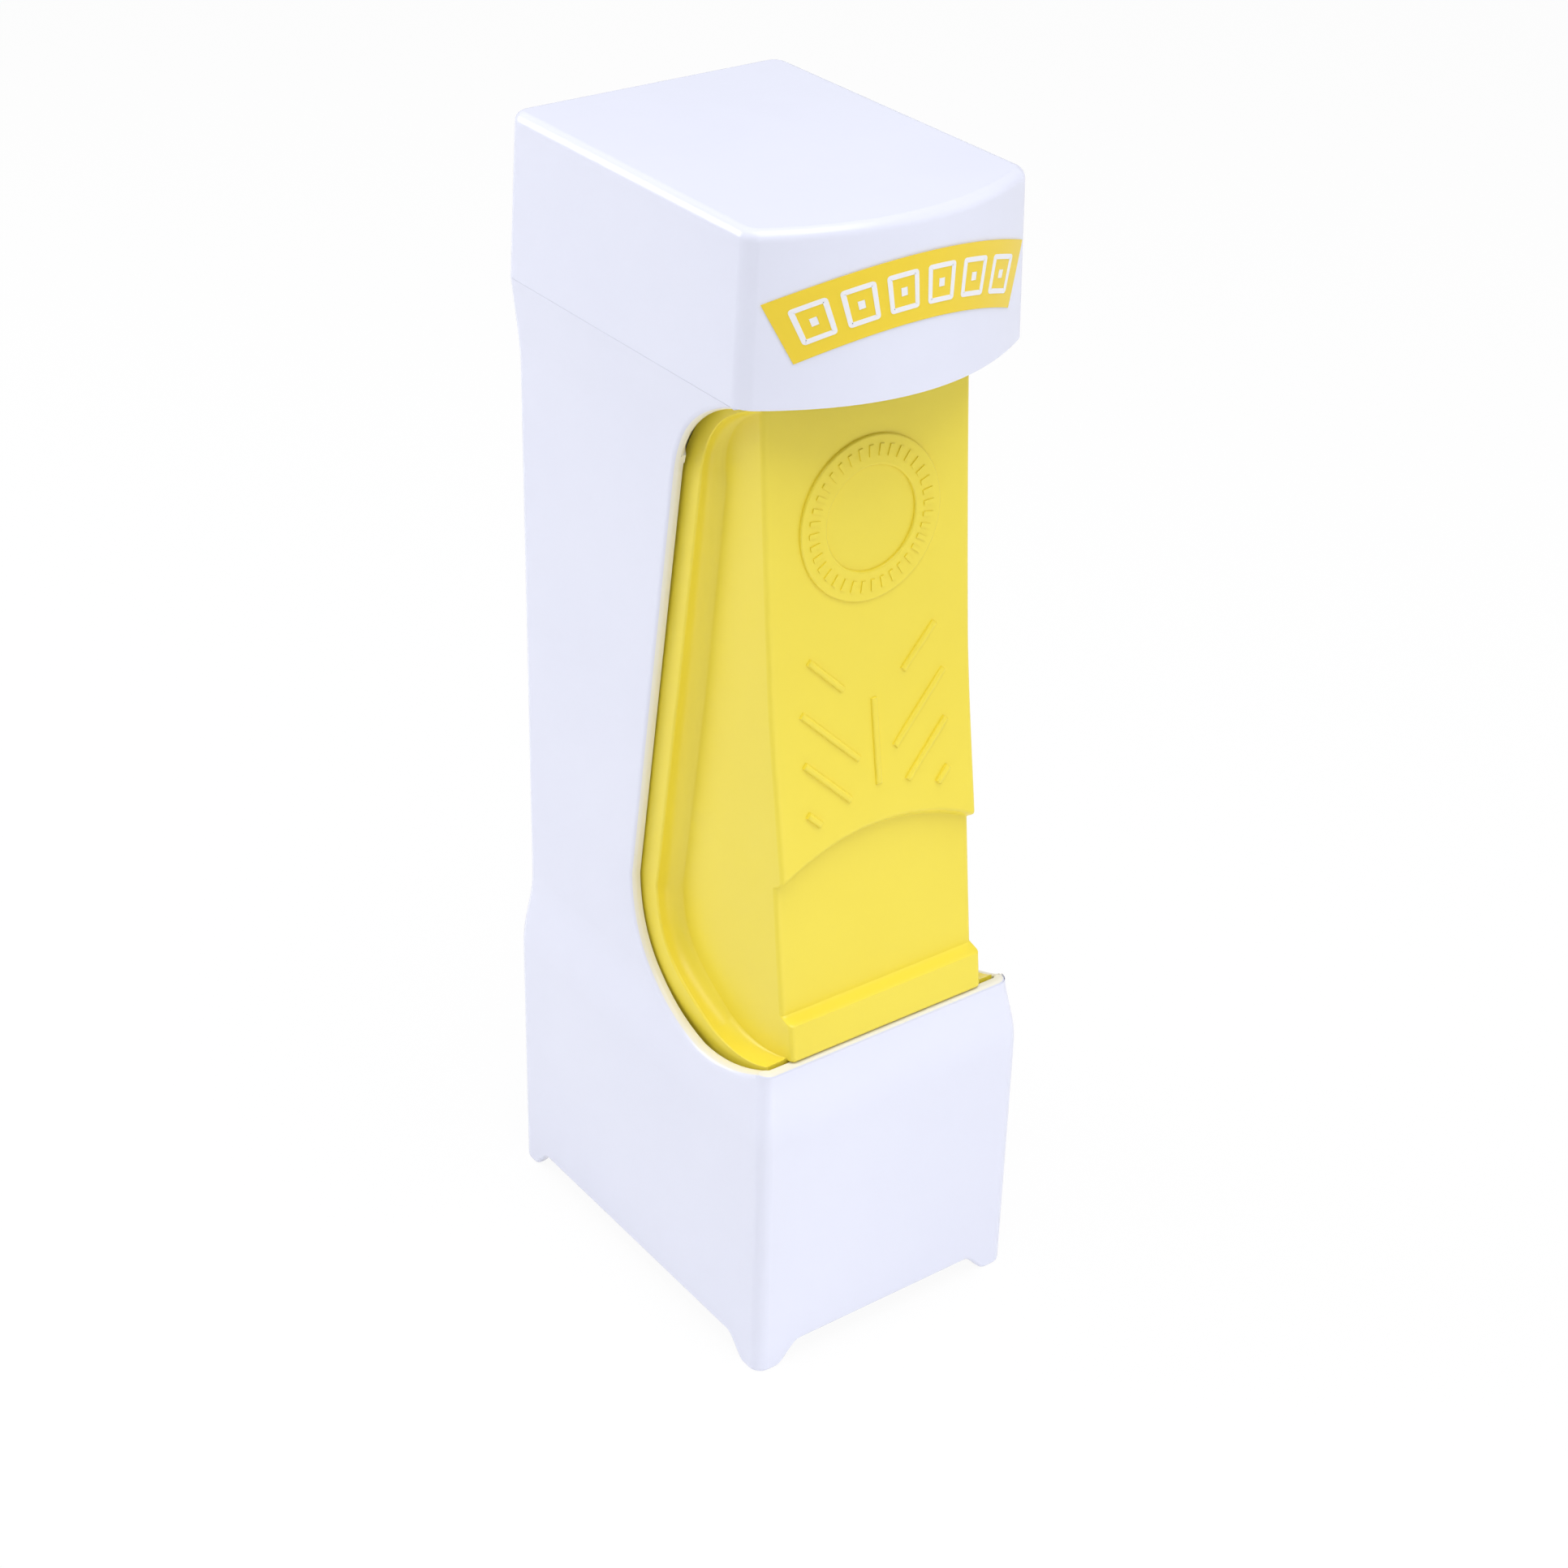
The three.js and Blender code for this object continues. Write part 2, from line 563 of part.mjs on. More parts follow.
function medallion() {
  const middle = waistStart + relief.ringRise;
  const circle = (radius) => {
    const points = [];
    for (let i = 0; i < 2 * steps.round; i += 1) {
      const angle = Math.PI * (i / steps.round);
      points.push([radius * Math.cos(angle), middle + radius * Math.sin(angle)]);
    }
    return points;
  };
  const low = middle - relief.ringRadius - gap.seat;
  const high = middle + relief.ringRadius + gap.seat;
  const inFront = [[outsideFront, low], ...facePoints(low, high, 0), [outsideFront, high]];
  const hole = alongY(circle(relief.ringRadius - relief.ringWidth), outsideFront, 0)
    .intersect(alongX(inFront, -outsideHalf, outsideHalf));
  return raised(circle(relief.ringRadius), low, high).subtract(hole);
}

// Rays that fan out above the thumb rest, in mirrored pairs, round one upright ray.
function sunRays() {
  const lengthShares = [0.62, 1, 0.8, 0.22];
  const spreadShares = [0.88, 1, 1, 1];
  const bar = (x0, z0, x1, z1) => {
    const along = new THREE.Vector2(x1 - x0, z1 - z0).normalize().multiplyScalar(ray.width / 2);
    const outline = [
      [x0 + along.y, z0 - along.x], [x1 + along.y, z1 - along.x],
      [x1 - along.y, z1 + along.x], [x0 - along.y, z0 + along.x],
    ];
    return raised(outline, Math.min(z0, z1) - ray.width, Math.max(z0, z1) + ray.width);
  };
  const pairs = Object.values(sides).flatMap((sign) => lengthShares.map((share, i) => {
    const x = sign * ray.spread * spreadShares[i];
    const z = waistStart + ray.rise - ray.pitch * i;
    const run = ray.length * share * Math.SQRT1_2;
    return bar(x, z, x - sign * run, z - run);
  }));
  const foot = waistStart + ray.centreRise;
  return join([...pairs, bar(0, foot, 0, foot + ray.length)]);
}

function leverShell() {
  const top = pivotHeight + lever.crown;
  const rear = cutoutEdge(gap.seat - lever.brimShow).filter(([y, z]) => (
    y > tailFront && (y > earBack || z < waistStart)
  ));
  const outline = [
    ...facePoints(lipBottom, pivotHeight, 0), [faceAt(pivotHeight) + lever.crownBack, top], [earBack, top],
    ...rear, [tailFront, rear.at(-1)[1]], [tailFront, lipBottom],
  ];
  const behindFace = [...facePoints(0, height, lever.wall), [baseBack, height], [baseBack, 0]];
  const hollow = alongX(behindFace, -cheekInner, cheekInner);
  const shell = alongX(outline, -cheekOuter, cheekOuter).subtract(hollow);
  const tail = block(
    [-cheekInner - gap.seat, cheekInner + gap.seat], [tailFront, tailFront + lever.tailWall],
    [tailBottom, lipBottom + lever.wall],
  );
  const forks = Object.values(sides).map((sign) => sideBlock(
    sign, cheekInner, cheekOuter,
    [pinPlace - fork.width / 2, pinPlace + fork.width / 2], [forkBottom, waistStart],
  ));
  const slotHalf = pin.radius + fork.play;
  const slots = block(
    [-outsideHalf, outsideHalf], [pinPlace - slotHalf, pinPlace + slotHalf], [0, bladeBottom - fork.bridge],
  );
  const bore = holeAlongX(bush.wall + axle.radius + axle.fit + gap.seat / 2, pivotHeight, pivotPlace);
  return cut(join([shell, tail, leverBrim(), ...forks]), [thumbHollow(), slots, bore])
    .add(medallion()).add(sunRays());
}

function leverBush(sign) {
  const radius = bush.wall + axle.radius + axle.fit;
  const at = (x) => [sign * x, pivotPlace, pivotHeight];
  const flangeStart = cheekOuter + gap.seat / 2;
  const sleeveLength = flangeStart - cheekInner + bush.flange;
  const sleeve = rod(radius, sleeveLength, steps.round, at(cheekInner + sleeveLength / 2), 'x');
  const flangePlace = at(flangeStart + bush.flange / 2);
  const flange = rod(radius + bush.flangeReach, bush.flange, steps.round, flangePlace, 'x');
  return sleeve.add(flange).subtract(holeAlongX(axle.radius + axle.fit, pivotHeight, pivotPlace));
}

function axleClip(sign) {
  const near = cheekOuter + bush.flange + gap.seat / 2 + gap.seat;
  const place = [sign * (near + clip.thickness / 2), pivotPlace, pivotHeight];
  return rod(axle.radius + clip.reach, clip.thickness, steps.round, place, 'x')
    .subtract(holeAlongX(axle.radius + axle.fit / 2, pivotHeight, pivotPlace));
}

// A round wire that follows points, with a flat end at each end.
function wire(points, radius) {
  const corners = [];
  const normal = unitX.clone();
  points.forEach((point, i) => {
    const before = points[Math.max(i - 1, 0)];
    const after = points[Math.min(i + 1, points.length - 1)];
    const tangent = after.clone().sub(before).normalize();
    normal.addScaledVector(tangent, -normal.dot(tangent)).normalize();
    const side = tangent.clone().cross(normal);
    for (let k = 0; k < steps.wire; k += 1) {
      const angle = 2 * Math.PI * (k / steps.wire);
      const corner = point.clone().addScaledVector(normal, radius * Math.cos(angle));
      corners.push(...corner.addScaledVector(side, radius * Math.sin(angle)).toArray());
    }
  });
  const index = [];
  const last = (points.length - 1) * steps.wire;
  for (let i = 0; i < last; i += steps.wire) {
    for (let k = 0; k < steps.wire; k += 1) {
      const a = i + k;
      const b = i + ((k + 1) % steps.wire);
      index.push(a, b, b + steps.wire, a, b + steps.wire, a + steps.wire);
    }
  }
  for (let k = 1; k + 1 < steps.wire; k += 1) index.push(0, k + 1, k, last, last + k, last + k + 1);
  const geometry = new THREE.BufferGeometry();
  geometry.setAttribute('position', new THREE.Float32BufferAttribute(corners, 3));
  geometry.setIndex(index);
  return solidOf(geometry);
}

// The torsion spring round the axle: one leg on the lever's front wall, one on the chamber.
function returnSpring() {
  const halfCoil = (spring.turns * spring.pitch) / 2;
  const legEnd = pivotHeight - spring.legDrop;
  const standoff = spring.wire / 2 + gap.seat;
  const points = [new THREE.Vector3(-halfCoil, faceAt(legEnd) + lever.wall + standoff, legEnd)];
  const count = spring.turns * steps.turn;
  for (let i = 0; i <= count; i += 1) {
    const angle = Math.PI + 2 * Math.PI * (i / steps.turn);
    points.push(new THREE.Vector3(
      halfCoil * (2 * (i / count) - 1),
      pivotPlace + spring.coilRadius * Math.cos(angle),
      pivotHeight - spring.coilRadius * Math.sin(angle),
    ));
  }
  points.push(new THREE.Vector3(halfCoil, chamberFront - standoff, legEnd));
  let least = Infinity;
  points.forEach((point, i) => {
    for (let k = i + Math.ceil(steps.turn / 2); k < points.length - 1; k += 1) {
      least = Math.min(least, point.distanceTo(points[k]) - spring.wire);
    }
  });
  console.log(`return_spring: least gap to itself ${least.toFixed(2)} mm`);
  return wire(points, spring.wire / 2);
}

function cutterCarriage() {
  const barSpan = [barFront, bladeEdge - carriage.rear];
  const bars = Object.values(sides).flatMap((sign) => [
    sideBlock(sign, barInner, chamberOuter, barSpan, [tongueBottom, barTop]),
    sideBlock(sign, barInner, tongueOuter, barSpan, [tongueBottom, tongueTop]),
  ]);
  const crossBar = block(
    [-chamberOuter, chamberOuter], [barFront, barFront + carriage.crossBar],
    [tongueBottom, tongueBottom + carriage.crossHeight],
  );
  const pinHole = holeAlongX(pin.radius + pin.fit, pinHeight, pinPlace);
  return cut(join([...bars, crossBar]), [pinHole, ...bladeRivets.map(rivetHole)]);
}

function cutterBlade() {
  const front = barFront + blade.lap;
  const profile = [
    [front, bladeBottom], [bladeEdge - blade.bevel, bladeBottom], [bladeEdge, bladeTop], [front, bladeTop],
  ];
  return cut(alongX(profile, -chamberOuter, chamberOuter), bladeRivets.map(rivetHole));
}

function bladeRivet({ x, y }) {
  const headTop = bladeTop + rivet.head;
  const headHeight = rivet.head - rivet.fit;
  return rod(rivet.radius, rivet.length, steps.small, [x, y, headTop - rivet.length / 2])
    .add(rod(rivet.headRadius, headHeight, steps.small, [x, y, headTop - headHeight / 2]));
}

// The pin that the lever's fork drives the carriage by.
function drivePin(sign) {
  const end = cheekOuter + gap.seat + pin.head;
  const shankPlace = [sign * (barInner + end) / 2, pinPlace, pinHeight];
  const shank = rod(pin.radius, end - barInner, steps.round, shankPlace, 'x');
  const headPlace = [sign * (end - pin.head / 2), pinPlace, pinHeight];
  return shank.add(rod(pin.radius + pin.headReach, pin.head, steps.round, headPlace, 'x'));
}

function guideRail(sign) {
  const span = [baseFront + rail.frontSetback, baseBack - rail.backSetback];
  const body = sideBlock(sign, cheekInner, railOuter, span, [railBottom, railTop]);
  const groove = sideBlock(
    sign, 0, tongueOuter + gap.seat,
    [outsideFront, -outsideFront], [tongueBottom - gap.seat, tongueTop + gap.seat],
  );
  const ownScrews = railScrews.filter((place) => place.sign === sign);
  const holes = ownScrews.map((place) => screwHole(place, 0, height));
  return cut(body, [groove, ...holes]);
}

// A screw whose head faces up (1) or down (-1) on the seat it holds.
function uprightScrew({ x, y }, seat, length, up) {
  const underHead = seat + up * (gap.seat / 2);
  const tip = underHead - up * length;
  const headMiddle = underHead + up * screw.head / 2;
  return rod(screw.radius, length + screw.head / 2, steps.small, [x, y, (tip + headMiddle) / 2])
    .add(rod(screw.headRadius, screw.head, steps.small, [x, y, headMiddle]));
}

// The bracket that the stick's rear edge stands on, one pat below the blade.
function patLedge() {
  const half = barInner - ledge.sideGap;
  const across = [-half, half];
  const shelf = block(across, [innerBack - ledge.reach, ledgeBack], [ledgeTop - ledge.thickness, ledgeTop]);
  const web = block(across, [ledgeBack - ledge.web, ledgeBack], [ledgeTop - ledge.webHeight, ledgeTop]);
  return cut(shelf.add(web), ledgeScrews.map(({ x }) => rod(
    screw.radius + screw.fit, 2 * gap.overrun, steps.small, [x, ledgeBack, ledgeScrewHeight], 'y',
  )));
}

function ledgeScrew({ x }) {
  const underHead = ledgeBack - ledge.web - gap.seat / 2;
  const tip = studFront + ledge.screwGrip - gap.seat;
  const headFront = underHead - screw.head;
  const place = (front, back) => [x, (front + back) / 2, ledgeScrewHeight];
  return rod(screw.radius, tip - headFront, steps.small, place(headFront, tip), 'y')
    .add(rod(screw.headRadius, screw.head, steps.small, place(headFront, underHead), 'y'));
}

// The loose plate that rides down on the butter, with a knob to lift it by.
function butterFollower() {
  const half = chamberInner - butter.play;
  const front = chamberFrontInner + butter.play;
  const back = chamberBack - gap.seat;
  const bottom = chamberBottom + gap.running;
  const top = bottom + follower.plate;
  const tray = block([-half, half], [front, back], [bottom, top + follower.rimHeight]).subtract(block(
    [follower.rim - half, half - follower.rim], [front + follower.rim, back - follower.rim], [top, height],
  ));
  const tabHalf = follower.tab / 2;
  const tabBottom = chamberBottom + slot.rise + gap.seat;
  const tabTop = tabBottom + follower.tabHeight;
  const inSlot = chamberFront + gap.seat / 2;
  const tab = block([-tabHalf, tabHalf], [inSlot, front + follower.rim], [tabBottom, tabTop]);
  const stalk = block([-tabHalf, tabHalf], [front, front + follower.rim], [top, tabTop]);
  const { knobRadius, knobHeight } = follower;
  const knobShares = [[0, -0.1], [0.5, -0.1], [0.5, 0.5], [1, 0.7], [1, 0.9], [0.8, 1], [0, 1]];
  const profile = knobShares.map(([r, h]) => new THREE.Vector2(knobRadius * r, knobHeight * h));
  const knob = new THREE.LatheGeometry(profile, steps.round).rotateX(Math.PI / 2);
  return join([tray, tab, stalk, solidOf(knob.translate(0, (front + back) / 2, top))]);
}

add('body_casing', bodyCasing(), whitePlastic);
add('neck_collar', neckCollar(), whitePlastic);
add('butter_chamber', butterChamber(), innerPlastic);
add('lid_cap', lidCap(), whitePlastic);
add('lid_band', lidBand(), yellowPrint);
add('lever_shell', leverShell(), yellowPlastic);
add('lever_axle', rod(axle.radius, 2 * collarHalf, steps.round, [0, pivotPlace, pivotHeight], 'x'), steel);
add('return_spring', returnSpring(), steel);
add('cutter_carriage', cutterCarriage(), nylon);
add('cutter_blade', cutterBlade(), steel);
add('pat_ledge', patLedge(), steel);
add('butter_follower', butterFollower(), yellowPlastic);
for (const [side, sign] of Object.entries(sides)) {
  add(`lever_bush_${side}`, leverBush(sign), nylon);
  add(`axle_clip_${side}`, axleClip(sign), steel);
  add(`drive_pin_${side}`, drivePin(sign), steel);
  add(`guide_rail_${side}`, guideRail(sign), nylon);
}
for (const place of bladeRivets) add(`blade_rivet_${place.name}`, bladeRivet(place), steel);
const railGrip = railBossBottom - railBottom + boss.rail / 2;
for (const place of railScrews) {
  add(`rail_screw_${place.name}`, uprightScrew(place, railBottom, railGrip, -1), steel);
}
const lugTop = collarBottom + collar.lug;
const collarGrip = lugTop - seatHeight + screw.length / 2;
for (const place of collarScrews) {
  add(`collar_screw_${place.name}`, uprightScrew(place, lugTop, collarGrip, 1), steel);
}
const rimTop = chamberTop + chamber.rim;
const chamberGrip = rimTop - ribTop + collar.rib / 2;
for (const place of chamberScrews) {
  add(`chamber_screw_${place.name}`, uprightScrew(place, rimTop, chamberGrip, 1), steel);
}
for (const place of ledgeScrews) add(`ledge_screw_${place.name}`, ledgeScrew(place), steel);

export default part;
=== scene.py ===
import math

import bmesh
import bpy
from mathutils import Matrix, Vector


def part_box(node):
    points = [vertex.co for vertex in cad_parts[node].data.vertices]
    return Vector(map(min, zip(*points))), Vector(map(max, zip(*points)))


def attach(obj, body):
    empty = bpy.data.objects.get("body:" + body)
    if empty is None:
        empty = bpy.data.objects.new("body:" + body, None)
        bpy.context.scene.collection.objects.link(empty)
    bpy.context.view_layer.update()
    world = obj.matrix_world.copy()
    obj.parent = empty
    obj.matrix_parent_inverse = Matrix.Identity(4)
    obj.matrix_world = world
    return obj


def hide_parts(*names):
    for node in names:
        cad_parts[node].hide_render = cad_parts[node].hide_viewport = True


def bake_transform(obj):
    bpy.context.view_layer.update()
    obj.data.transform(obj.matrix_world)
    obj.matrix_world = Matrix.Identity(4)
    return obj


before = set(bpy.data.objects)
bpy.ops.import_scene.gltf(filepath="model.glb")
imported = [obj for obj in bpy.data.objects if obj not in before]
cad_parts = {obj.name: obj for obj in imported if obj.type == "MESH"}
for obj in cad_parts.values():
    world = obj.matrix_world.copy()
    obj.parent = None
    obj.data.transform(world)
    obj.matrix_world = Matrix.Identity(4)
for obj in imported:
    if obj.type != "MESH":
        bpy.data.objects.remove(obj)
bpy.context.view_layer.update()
print("frame loaded:", len(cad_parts), "nodes")

# Everything is modelled in millimetres, and finished meshes are brought to metres
mm = 0.001
close = 0.01    # a point this close to a line counts as on it
overlap = 0.02  # pieces that are joined run into each other by this much
weld = 0.0001   # points this close together become one


def boxMm(node):
    low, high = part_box(node)
    return low / mm, high / mm


casingLow, casingHigh = boxMm("body_casing")
lidLow, lidHigh = boxMm("lid_cap")
seam = casingHigh.z  # where the lid meets the casing


# mesh helpers

def newObject(bm, name, materials=()):
    mesh = bpy.data.meshes.new(name)
    bm.to_mesh(mesh)
    bm.free()
    for material in materials:
        mesh.materials.append(material)
    obj = bpy.data.objects.new(name, mesh)
    bpy.context.scene.collection.objects.link(obj)
    return obj


def everything(bm):
    return bm.verts[:] + bm.edges[:] + bm.faces[:]


def slicePlane(bm, place, normal):
    bmesh.ops.bisect_plane(bm, geom=everything(bm), plane_co=place, plane_no=normal, dist=0.00001)


def addBox(bm, size, place):
    made = bmesh.ops.create_cube(bm, size=1)["verts"]
    bmesh.ops.scale(bm, vec=size, verts=made)
    bmesh.ops.translate(bm, vec=place, verts=made)
    return made


def addBlock(bm, low, high):
    low, high = Vector(low), Vector(high)
    return addBox(bm, high - low, (low + high) / 2)


def block(low, high):
    bm = bmesh.new()
    addBlock(bm, low, high)
    return bm


# a rod along z, or turned a right angle about another axis
def addRod(bm, radius, length, place, about=None, segments=28):
    made = bmesh.ops.create_cone(bm, cap_ends=True, segments=segments, radius1=radius,
                                 radius2=radius, depth=length)["verts"]
    if about:
        turn = Matrix.Rotation(math.radians(90), 3, about)
        bmesh.ops.rotate(bm, cent=(0, 0, 0), matrix=turn, verts=made)
    bmesh.ops.translate(bm, vec=place, verts=made)


# a (y, z) outline run along x
def prism(points, start, end):
    bm = bmesh.new()
    bm.faces.new([bm.verts.new((start, y, z)) for y, z in points])
    pulled = bmesh.ops.extrude_face_region(bm, geom=bm.faces[:])
    moved = [item for item in pulled["geom"] if isinstance(item, bmesh.types.BMVert)]
    bmesh.ops.translate(bm, vec=(end - start, 0, 0), verts=moved)
    bmesh.ops.recalc_face_normals(bm, faces=bm.faces)
    return bm


def bevelEdges(bm, pick, offset, segments):
    edges = [edge for edge in bm.edges if pick(edge)]
    bmesh.ops.bevel(bm, geom=edges, offset=offset, offset_type="OFFSET", affect="EDGES",
                    segments=segments, profile=0.5, material=-1, clamp_overlap=False)


def bevelCorners(bm, corners, offset, segments):
    bmesh.ops.bevel(bm, geom=corners, offset=offset, offset_type="OFFSET", affect="VERTICES",
                    segments=segments, profile=0.5, material=-1)


def isSharp(edge, degrees=40):
    return len(edge.link_faces) == 2 and edge.calc_face_angle() > math.radians(degrees)


# adds the mirror image across the middle and makes the object
def bothSides(bm, name, material):
    bmesh.ops.mirror(bm, geom=everything(bm), axis="X", merge_dist=-1)
    bmesh.ops.recalc_face_normals(bm, faces=bm.faces)
    return newObject(bm, name, [material])


def bake(obj):
    graph = bpy.context.evaluated_depsgraph_get()
    mesh = bpy.data.meshes.new_from_object(obj.evaluated_get(graph))
    obj.modifiers.clear()
    obj.data = mesh
    return obj


def carve(obj, tool, operation="DIFFERENCE"):
    step = obj.modifiers.new("carve", "BOOLEAN")
    step.operation = operation
    step.solver = "EXACT"
    step.material_mode = "TRANSFER"
    step.object = tool
    bake(obj)
    bpy.data.objects.remove(tool)
    return obj


def edit(obj):
    bm = bmesh.new()
    bm.from_mesh(obj.data)
    return bm


def store(bm, obj):
    bm.to_mesh(obj.data)
    bm.free()
    return obj


def easeStep(low, high, value):
    t = min(max((value - low) / (high - low), 0), 1)
    return t * t * (3 - 2 * t)


def shade(obj, sharpFrom):
    obj.data.transform(Matrix.Scale(mm, 4))
    obj.data.shade_smooth()
    obj.data.set_sharp_from_angle(angle=math.radians(sharpFrom))


# finishes a piece: metres, smooth shading, and its place on the frame
def seat(obj, body, replaces=()):
    shade(obj, 32)
    obj.modifiers.new("even shading", "WEIGHTED_NORMAL").keep_sharp = True
    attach(obj, body)
    if replaces:
        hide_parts(*replaces)
    return obj


# materials

def blankMaterial(name):
    material = bpy.data.materials.new(name)
    material.use_nodes = True
    tree = material.node_tree
    shader = tree.nodes["Principled BSDF"]
    place = tree.nodes.new("ShaderNodeTexCoord")
    return material, tree, shader, place.outputs["Object"]


def noise(tree, vector, scale, detail=2.0, roughness=0.5):
    node = tree.nodes.new("ShaderNodeTexNoise")
    node.inputs["Scale"].default_value = scale
    node.inputs["Detail"].default_value = detail
    node.inputs["Roughness"].default_value = roughness
    tree.links.new(vector, node.inputs["Vector"])
    return node.outputs["Fac"]


def spread(tree, value, low, high, fromLow=0.3, fromHigh=0.7):
    node = tree.nodes.new("ShaderNodeMapRange")
    node.inputs["From Min"].default_value = fromLow
    node.inputs["From Max"].default_value = fromHigh
    node.inputs["To Min"].default_value = low
    node.inputs["To Max"].default_value = high
    tree.links.new(value, node.inputs["Value"])
    return node.outputs["Result"]


def mixColour(tree, factor, first, second):
    node = tree.nodes.new("ShaderNodeMix")
    node.data_type = "RGBA"
    node.inputs["A"].default_value = (*first, 1)
    node.inputs["B"].default_value = (*second, 1)
    tree.links.new(factor, node.inputs["Factor"])
    return node.outputs["Result"]


def bump(tree, shader, height, strength, distance):
    node = tree.nodes.new("ShaderNodeBump")
    node.inputs["Strength"].default_value = strength
    node.inputs["Distance"].default_value = distance
    tree.links.new(height, node.inputs["Height"])
    tree.links.new(node.outputs["Normal"], shader.inputs["Normal"])


# slow colour drift, uneven gloss and a fine moulded grain
plastic = {
    "driftScale": 28,
    "driftDetail": 3,
    "glossScale": 90,
    "glossDetail": 4,
    "glossRoughness": 0.6,
    "glossShares": (0.88, 1.14),
    "grainDetail": 3,
    "grainRoughness": 0.55,
    "grainDepth": 0.00006,
    "refraction": 1.49,
}


def mouldedPlastic(name, colour, shadow, roughness, grain, grainStrength):
    s = plastic
    material, tree, shader, place = blankMaterial(name)
    drift = noise(tree, place, s["driftScale"], s["driftDetail"])
    colourOut = mixColour(tree, spread(tree, drift, 0, 1), colour, shadow)
    tree.links.new(colourOut, shader.inputs["Base Color"])
    patches = noise(tree, place, s["glossScale"], s["glossDetail"], s["glossRoughness"])
    smoother, rougher = (roughness * share for share in s["glossShares"])
    tree.links.new(spread(tree, patches, smoother, rougher), shader.inputs["Roughness"])
    grains = noise(tree, place, grain, s["grainDetail"], s["grainRoughness"])
    bump(tree, shader, grains, grainStrength, s["grainDepth"])
    shader.inputs["IOR"].default_value = s["refraction"]
    return material


# stainless steel with fine lines along x
metal = {
    "stretch": (40, 900, 900),
    "lineDetail": 4,
    "lineRoughness": 0.6,
    "lineShade": 0.86,
    "glossShares": (0.8, 1.25),
    "lineStrength": 0.12,
    "lineDepth": 0.00004,
}


def brushedMetal(name, colour, roughness):
    s = metal
    material, tree, shader, place = blankMaterial(name)
    stretch = tree.nodes.new("ShaderNodeMapping")
    stretch.inputs["Scale"].default_value = s["stretch"]
    tree.links.new(place, stretch.inputs["Vector"])
    lines = noise(tree, stretch.outputs["Vector"], 1, s["lineDetail"], s["lineRoughness"])
    shadow = tuple(part * s["lineShade"] for part in colour)
    colourOut = mixColour(tree, spread(tree, lines, 0, 1), colour, shadow)
    tree.links.new(colourOut, shader.inputs["Base Color"])
    smoother, rougher = (roughness * share for share in s["glossShares"])
    tree.links.new(spread(tree, lines, smoother, rougher), shader.inputs["Roughness"])
    bump(tree, shader, lines, s["lineStrength"], s["lineDepth"])
    shader.inputs["Metallic"].default_value = 1
    return material


# plastics: colour, the colour it drifts to, roughness, size of the grain and its strength
whitePlastic = mouldedPlastic(
    "white plastic", (0.79, 0.81, 0.94), (0.77, 0.79, 0.925), 0.24, 900, 0.10)
# the cutout's cut edge is white plastic painted cream: a painted reflection of yellow light bounced
# off the lever onto the edge
paintedBounceEdge = mouldedPlastic(
    "cutout edge with painted yellow bounce", (0.86, 0.84, 0.76), (0.84, 0.81, 0.70), 0.30, 900, 0.10)
leverPlastic = mouldedPlastic(
    "yellow plastic", (0.89, 0.74, 0.066), (0.87, 0.71, 0.056), 0.34, 1500, 0.28)
printYellow = mouldedPlastic(
    "yellow print", (0.88, 0.66, 0.03), (0.86, 0.63, 0.025), 0.32, 1200, 0.12)
printWhite = mouldedPlastic(
    "white print", (0.86, 0.86, 0.90), (0.84, 0.84, 0.88), 0.34, 1200, 0.12)
innerPlastic = mouldedPlastic(
    "inner plastic", (0.80, 0.80, 0.83), (0.77, 0.77, 0.80), 0.36, 1100, 0.16)
nylon = mouldedPlastic(
    "nylon", (0.72, 0.71, 0.66), (0.69, 0.68, 0.62), 0.48, 1400, 0.20)
bladeSteel = brushedMetal("blade steel", (0.72, 0.73, 0.75), 0.22)
plainSteel = brushedMetal("bright steel", (0.60, 0.61, 0.63), 0.30)
print("materials made")


# the cutout in the casing's sides, as (y, z) points from the lid down to the front wall
cutout = {
    "horn": (-26.5, 176.0),
    "crown": (-10.8, 171.0),
    "shoulder": (-8.8, 158.8),
    "heel": (2.9, 80.0),
    "bend": (2.4, 60.3),
    "sole": (-17.5, 57.2),
    "toe": (-25.6, 56.7),
    "front": (-34.0, 61.4),
    "steps": 16,            # on each of its three curves
    "straightSteps": 2,
}


# points on a quadratic curve, moved to its left by offset
def curvePoints(first, pull, last, offset, steps):
    a, b, c = Vector(first), Vector(pull), Vector(last)
    points = []
    for i in range(steps + 1):
        t = i / steps
        point = a * (1 - t) ** 2 + b * 2 * t * (1 - t) + c * t * t
        along = ((b - a) * (1 - t) + (c - b) * t).normalized()
        points.append((point.x - along.y * offset, point.y + along.x * offset))
    return points


def cutoutEdge(offset):
    c = cutout
    middle = [(c["shoulder"][i] + c["heel"][i]) / 2 for i in (0, 1)]
    stretches = (
        (c["horn"], c["crown"], c["shoulder"], c["steps"]),
        (c["shoulder"], middle, c["heel"], c["straightSteps"]),
        (c["heel"], c["bend"], c["sole"], c["steps"]),
        (c["sole"], c["toe"], c["front"], c["steps"]),
    )
    points = []
    for first, pull, last, steps in stretches:
        points += curvePoints(first, pull, last, offset, steps)[1 if points else 0:]
    return points


